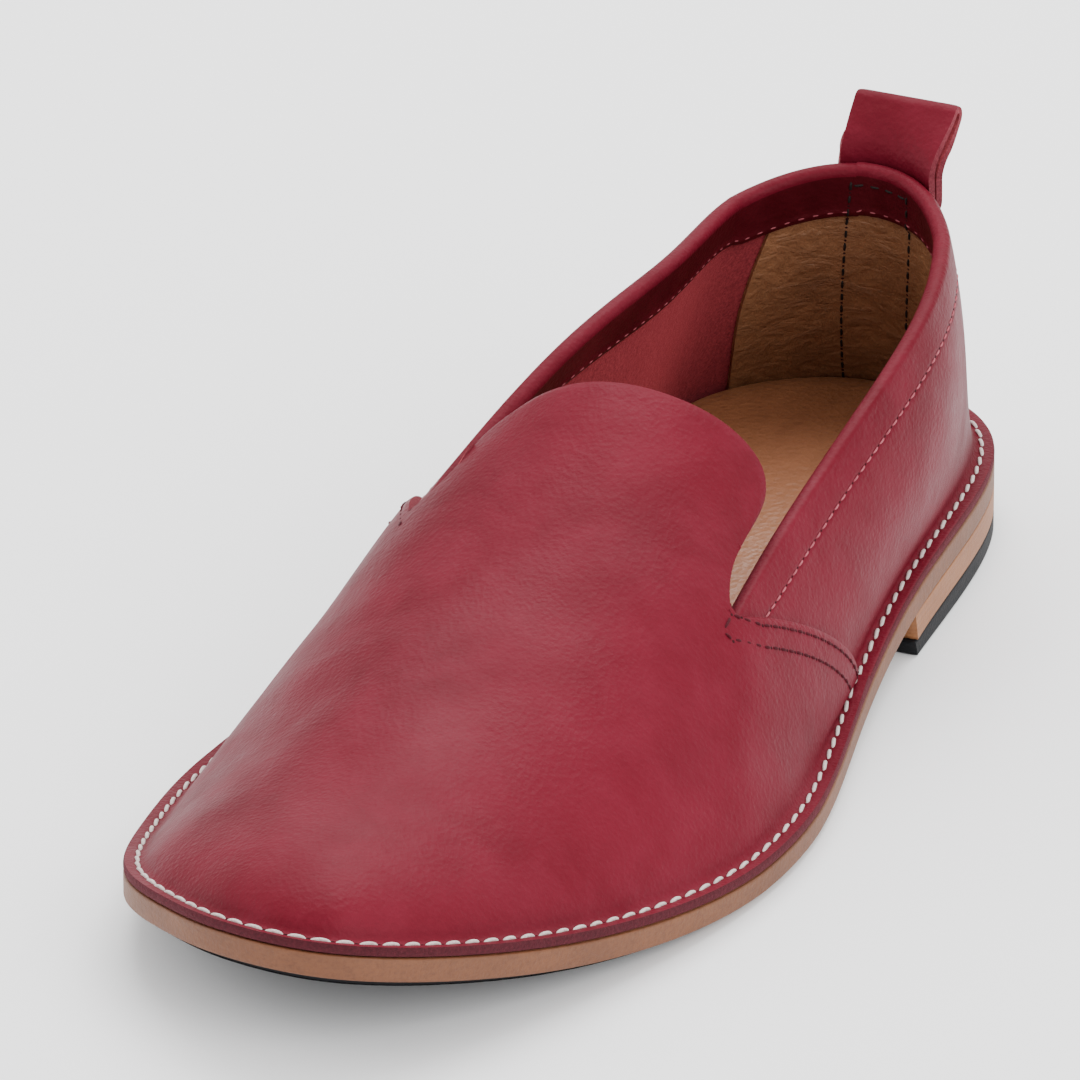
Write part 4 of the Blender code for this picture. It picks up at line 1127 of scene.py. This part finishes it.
# Strip up the heel that folds over into the pull loop, its front end tucked inside it
stripValues = {
    "width": 0.022, "leather": 0.0016, "loop": 0.0110, "lean": 42.0, "open": 0.0016,
    "footSide": -0.0015, "topSide": 0.0075, "tuck": 0.0070, "foot": 0.0026, "clear": 0.00012,
    "seamIn": 0.0026, "across": 25, "rows": 70, "reach": 0.34, "steps": 121, "levels": 160,
}
stripSteps = np.linspace(-stripValues["reach"], stripValues["reach"], stripValues["steps"])
stripMiddle = stripValues["steps"] // 2
stripLast = stripValues["levels"] - 1
stripDense, stripSpan = fineWall(quarterColumns(stripSteps), 260)
stripHigh = stripSpan[stripMiddle, -1]
stripRows = np.linspace(0, 1, stripValues["levels"])
stripGrid = sampleWall(stripDense, stripSpan, stripSpan[:, -1:] * stripRows[None])
stripNormal = wallNormal(stripGrid)
stripAcross = np.linspace(-0.5, 0.5, stripValues["across"]) * stripValues["width"]


def stripBand(heights):
    # points and normals of the wall over the strip's width at heights up the heel
    at = np.clip(heights / stripHigh, 0, 1) * stripLast
    low = np.clip(np.floor(at).astype(int), 0, stripLast - 1)
    part = (at - low)[None, :, None]
    spot = stripGrid[:, low] * (1 - part) + stripGrid[:, low + 1] * part
    turned = unit(stripNormal[:, low] * (1 - part) + stripNormal[:, low + 1] * part)
    sideRun = stripValues["topSide"] - stripValues["footSide"]
    place = []
    out = []
    for r in range(len(heights)):
        run = np.concatenate([[0.0], np.cumsum(np.linalg.norm(np.diff(spot[:, r], axis=0), axis=1))])
        side = stripValues["footSide"] + sideRun * at[r] / stripLast
        run = run - run[stripMiddle] - side
        place.append(np.stack([np.interp(stripAcross, run, spot[:, r, n]) for n in range(3)], 1))
        out.append(np.stack([np.interp(stripAcross, run, turned[:, r, n]) for n in range(3)], 1))
    return np.array(place), unit(np.array(out))


def buildStrip():
    thick = stripValues["leather"]
    gap = shoe["gap"]
    clear = stripValues["clear"]
    rising = np.linspace(stripValues["foot"], stripHigh, stripValues["rows"])
    place, out = stripBand(rising)
    extra = (thick + gap) * ease((rising - (stripHigh - stripValues["tuck"] - 0.006)) / 0.006)
    base = clear + extra[:, None, None]
    inner = [*(place + out * base)]
    outer = [*(place + out * (base + thick))]
    endPlace, endOut = stripBand(np.array([stripHigh]))
    endPlace, endOut = endPlace[0], endOut[0]
    middle = stripValues["across"] // 2
    wallUp = unit(stripGrid[stripMiddle, -1] - stripGrid[stripMiddle, -12])
    startAngle = np.arctan2(-wallUp[0], wallUp[2])
    steps = 34
    s = np.linspace(0, 1, steps)
    angle = startAngle + (np.radians(stripValues["lean"]) - startAngle) * np.clip(s / 0.45, 0, 1)
    ds = stripValues["loop"] / (steps - 1)
    runT = np.concatenate([[0.0], np.cumsum(-np.sin(angle[1:]) * ds)])
    runZ = np.concatenate([[0.0], np.cumsum(np.cos(angle[1:]) * ds)])
    half = 0.5 * (thick + gap + (stripValues["open"] - gap) * np.sin(0.5 * np.pi * s))
    mid = endPlace + endOut * (clear + thick + 0.5 * gap)
    flat = mid[middle] + np.stack([0 * stripAcross, stripAcross, 0 * stripAcross], 1)

    def loopRow(n):
        weight = ease(s[n])
        row = mid * (1 - weight) + flat * weight + np.array([runT[n], 0, runZ[n]])
        back = np.array([-np.cos(angle[n]), 0, -np.sin(angle[n])])
        return row, unit(endOut * (1 - weight) + back * weight)

    for n in range(1, steps):
        row, back = loopRow(n)
        inner.append(row + back * (half[n] - 0.5 * thick))
        outer.append(row + back * (half[n] + 0.5 * thick))
    heading = np.array([-np.sin(angle[-1]), 0, np.cos(angle[-1])])
    for turn in np.linspace(0, np.pi, 20)[1:-1]:
        way = back * np.cos(turn) + heading * np.sin(turn)
        inner.append(row + way * (half[-1] - 0.5 * thick))
        outer.append(row + way * (half[-1] + 0.5 * thick))
    for n in range(steps - 1, 0, -1):
        row, back = loopRow(n)
        inner.append(row - back * (half[n] - 0.5 * thick))
        outer.append(row - back * (half[n] + 0.5 * thick))
    tucked = np.linspace(stripHigh, stripHigh - stripValues["tuck"], 14)
    place, out = stripBand(tucked)
    inner += [*(place + out * (clear + thick))]
    outer += [*(place + out * clear)]
    inner, outer = np.array(inner), np.array(outer)
    # raw side edges: the grain face is rounded off slightly at its borders
    drop = 0.00022 * np.exp(-(((0.5 * stripValues["width"] - np.abs(stripAcross)) / 0.0007) ** 2))
    toward = unit(inner - outer)
    outer = outer + toward * drop[None, :, None]
    body = np.concatenate([outer, inner[:, ::-1]], 1)
    count, size = body.shape[:2]
    faces = [list(face) for face in gridFaces(count, size, False, True, False)]
    across = stripValues["across"]
    zone = [0] * (across - 1) + [1] + [2] * (across - 1) + [1]
    zones = zone * (count - 1)
    faces.append(list(range(size))[::-1])
    faces.append(list(range((count - 1) * size, count * size)))
    zones = zones + [1, 1]
    addPiece(
        "heelStrip", toWorld(body), faces, [redOuter, redEdge, redSuede], zones,
        ("heel_strip_loop",), 45.0,
    )
    return outer, toward


stripOuter, stripInward = buildStrip()
stripStitch = {
    "pitch": 0.0032, "radius": 0.00024, "lift": 0.00020, "sink": 0.00005, "fill": 0.76,
    "hole": 0.00040, "flat": 1.2,
}
for sign, word in ((-1, "Inner"), (1, "Outer")):
    inward = 0.5 - stripValues["seamIn"] / stripValues["width"]
    index = int(round((0.5 + sign * inward) * (stripValues["across"] - 1)))
    line = stripOuter[1 : stripValues["rows"], index]
    normals = -stripInward[1 : stripValues["rows"], index]
    stitchRow("stripStitches" + word, line, normals, redThread, stripStitch, holeShade)


def insideLine(sign):
    # the strip's seam as it shows inside, on the lining and the folded collar
    away = sign * (0.5 * stripValues["width"] - stripValues["seamIn"])
    heights = np.linspace(0.004, stripHigh - 0.0025, 120)
    place, out = stripBand(heights)
    index = np.interp(away, stripAcross, np.arange(stripValues["across"]))
    low = int(np.floor(index))
    part = index - low
    spot = place[:, low] * (1 - part) + place[:, low + 1] * part
    normal = unit(out[:, low] * (1 - part) + out[:, low + 1] * part)
    folded = 1 - ease((stripHigh - heights - quarterValues["foldDepth"]) / 0.0006)
    deep = quarterValues["thickness"] + liningValues["behind"] + liningValues["thickness"]
    deep = deep + (quarterValues["foldThick"] - deep) * folded
    return spot - normal * deep[:, None], -normal


insideStitch = {
    "pitch": 0.0033, "radius": 0.00020, "lift": 0.00018, "sink": 0.00005, "fill": 0.62,
    "hole": 0.00036, "flat": 1.2,
}
for sign, word in ((-1, "Inner"), (1, "Outer")):
    line, normals = insideLine(sign)
    stitchRow("liningStitches" + word, line, normals, blackThread, insideStitch, holeShade)


def insideAcross():
    # the row under the rim that joins the strip's two seams
    away = np.linspace(-1, 1, 60) * (0.5 * stripValues["width"] - stripValues["seamIn"])
    place, out = stripBand(np.array([stripHigh - 0.0042, stripHigh - 0.0036]))
    index = np.interp(away, stripAcross, np.arange(stripValues["across"]))
    low = np.minimum(np.floor(index).astype(int), stripValues["across"] - 2)
    part = (index - low)[:, None]
    spot = place[0, low] * (1 - part) + place[0, low + 1] * part
    normal = unit(out[0, low] * (1 - part) + out[0, low + 1] * part)
    return spot - normal * quarterValues["foldThick"], -normal


line, normals = insideAcross()
stitchRow("liningStitchesTop", line, normals, blackThread, insideStitch, holeShade)
print("strip made")

# Floor and studio light
floorMesh = bpy.data.meshes.new("floor")
floorMesh.from_pydata([(-6, -6, 0), (6, -6, 0), (6, 6, 0), (-6, 6, 0)], [], [(0, 1, 2, 3)])
floor = bpy.data.objects.new("floor", floorMesh)
bpy.context.scene.collection.objects.link(floor)
floorPaint, floorTree, floorShader, _ = startMaterial("floorPaint", 0.9, 0.1)
floorShader.inputs["Base Color"].default_value = (0.93, 0.93, 0.935, 1.0)
floorMesh.materials.append(floorPaint)
floor.location = (0, 0, -0.00005)

world = bpy.data.worlds.new("studio")
world.use_nodes = True
world.node_tree.nodes["Background"].inputs["Color"].default_value = (1.0, 1.0, 1.0, 1.0)
world.node_tree.nodes["Background"].inputs["Strength"].default_value = 1.5
bpy.context.scene.world = world


def addSoftbox(name, place, target, size, power):
    data = bpy.data.lights.new(name, "AREA")
    data.shape = "RECTANGLE"
    data.size, data.size_y = size
    data.energy = power
    lamp = bpy.data.objects.new(name, data)
    bpy.context.scene.collection.objects.link(lamp)
    lamp.location = place
    away = np.array(place, float) - np.array(target, float)
    flat = np.hypot(away[0], away[1])
    lamp.rotation_euler = (np.arctan2(flat, away[2]), 0, np.arctan2(away[0], -away[1]))


lightRows = (
    ("overhead", (-0.15, 0.55, 1.35), (0, -0.10, 0), (1.3, 1.1), 30.0),
    ("frontRight", (1.30, -0.70, 0.95), (0, -0.10, 0.03), (1.0, 0.9), 17.0),
    ("leftFill", (-1.30, -0.55, 0.75), (0, -0.10, 0.03), (0.9, 0.7), 6.0),
)
for row in lightRows:
    addSoftbox(*row)
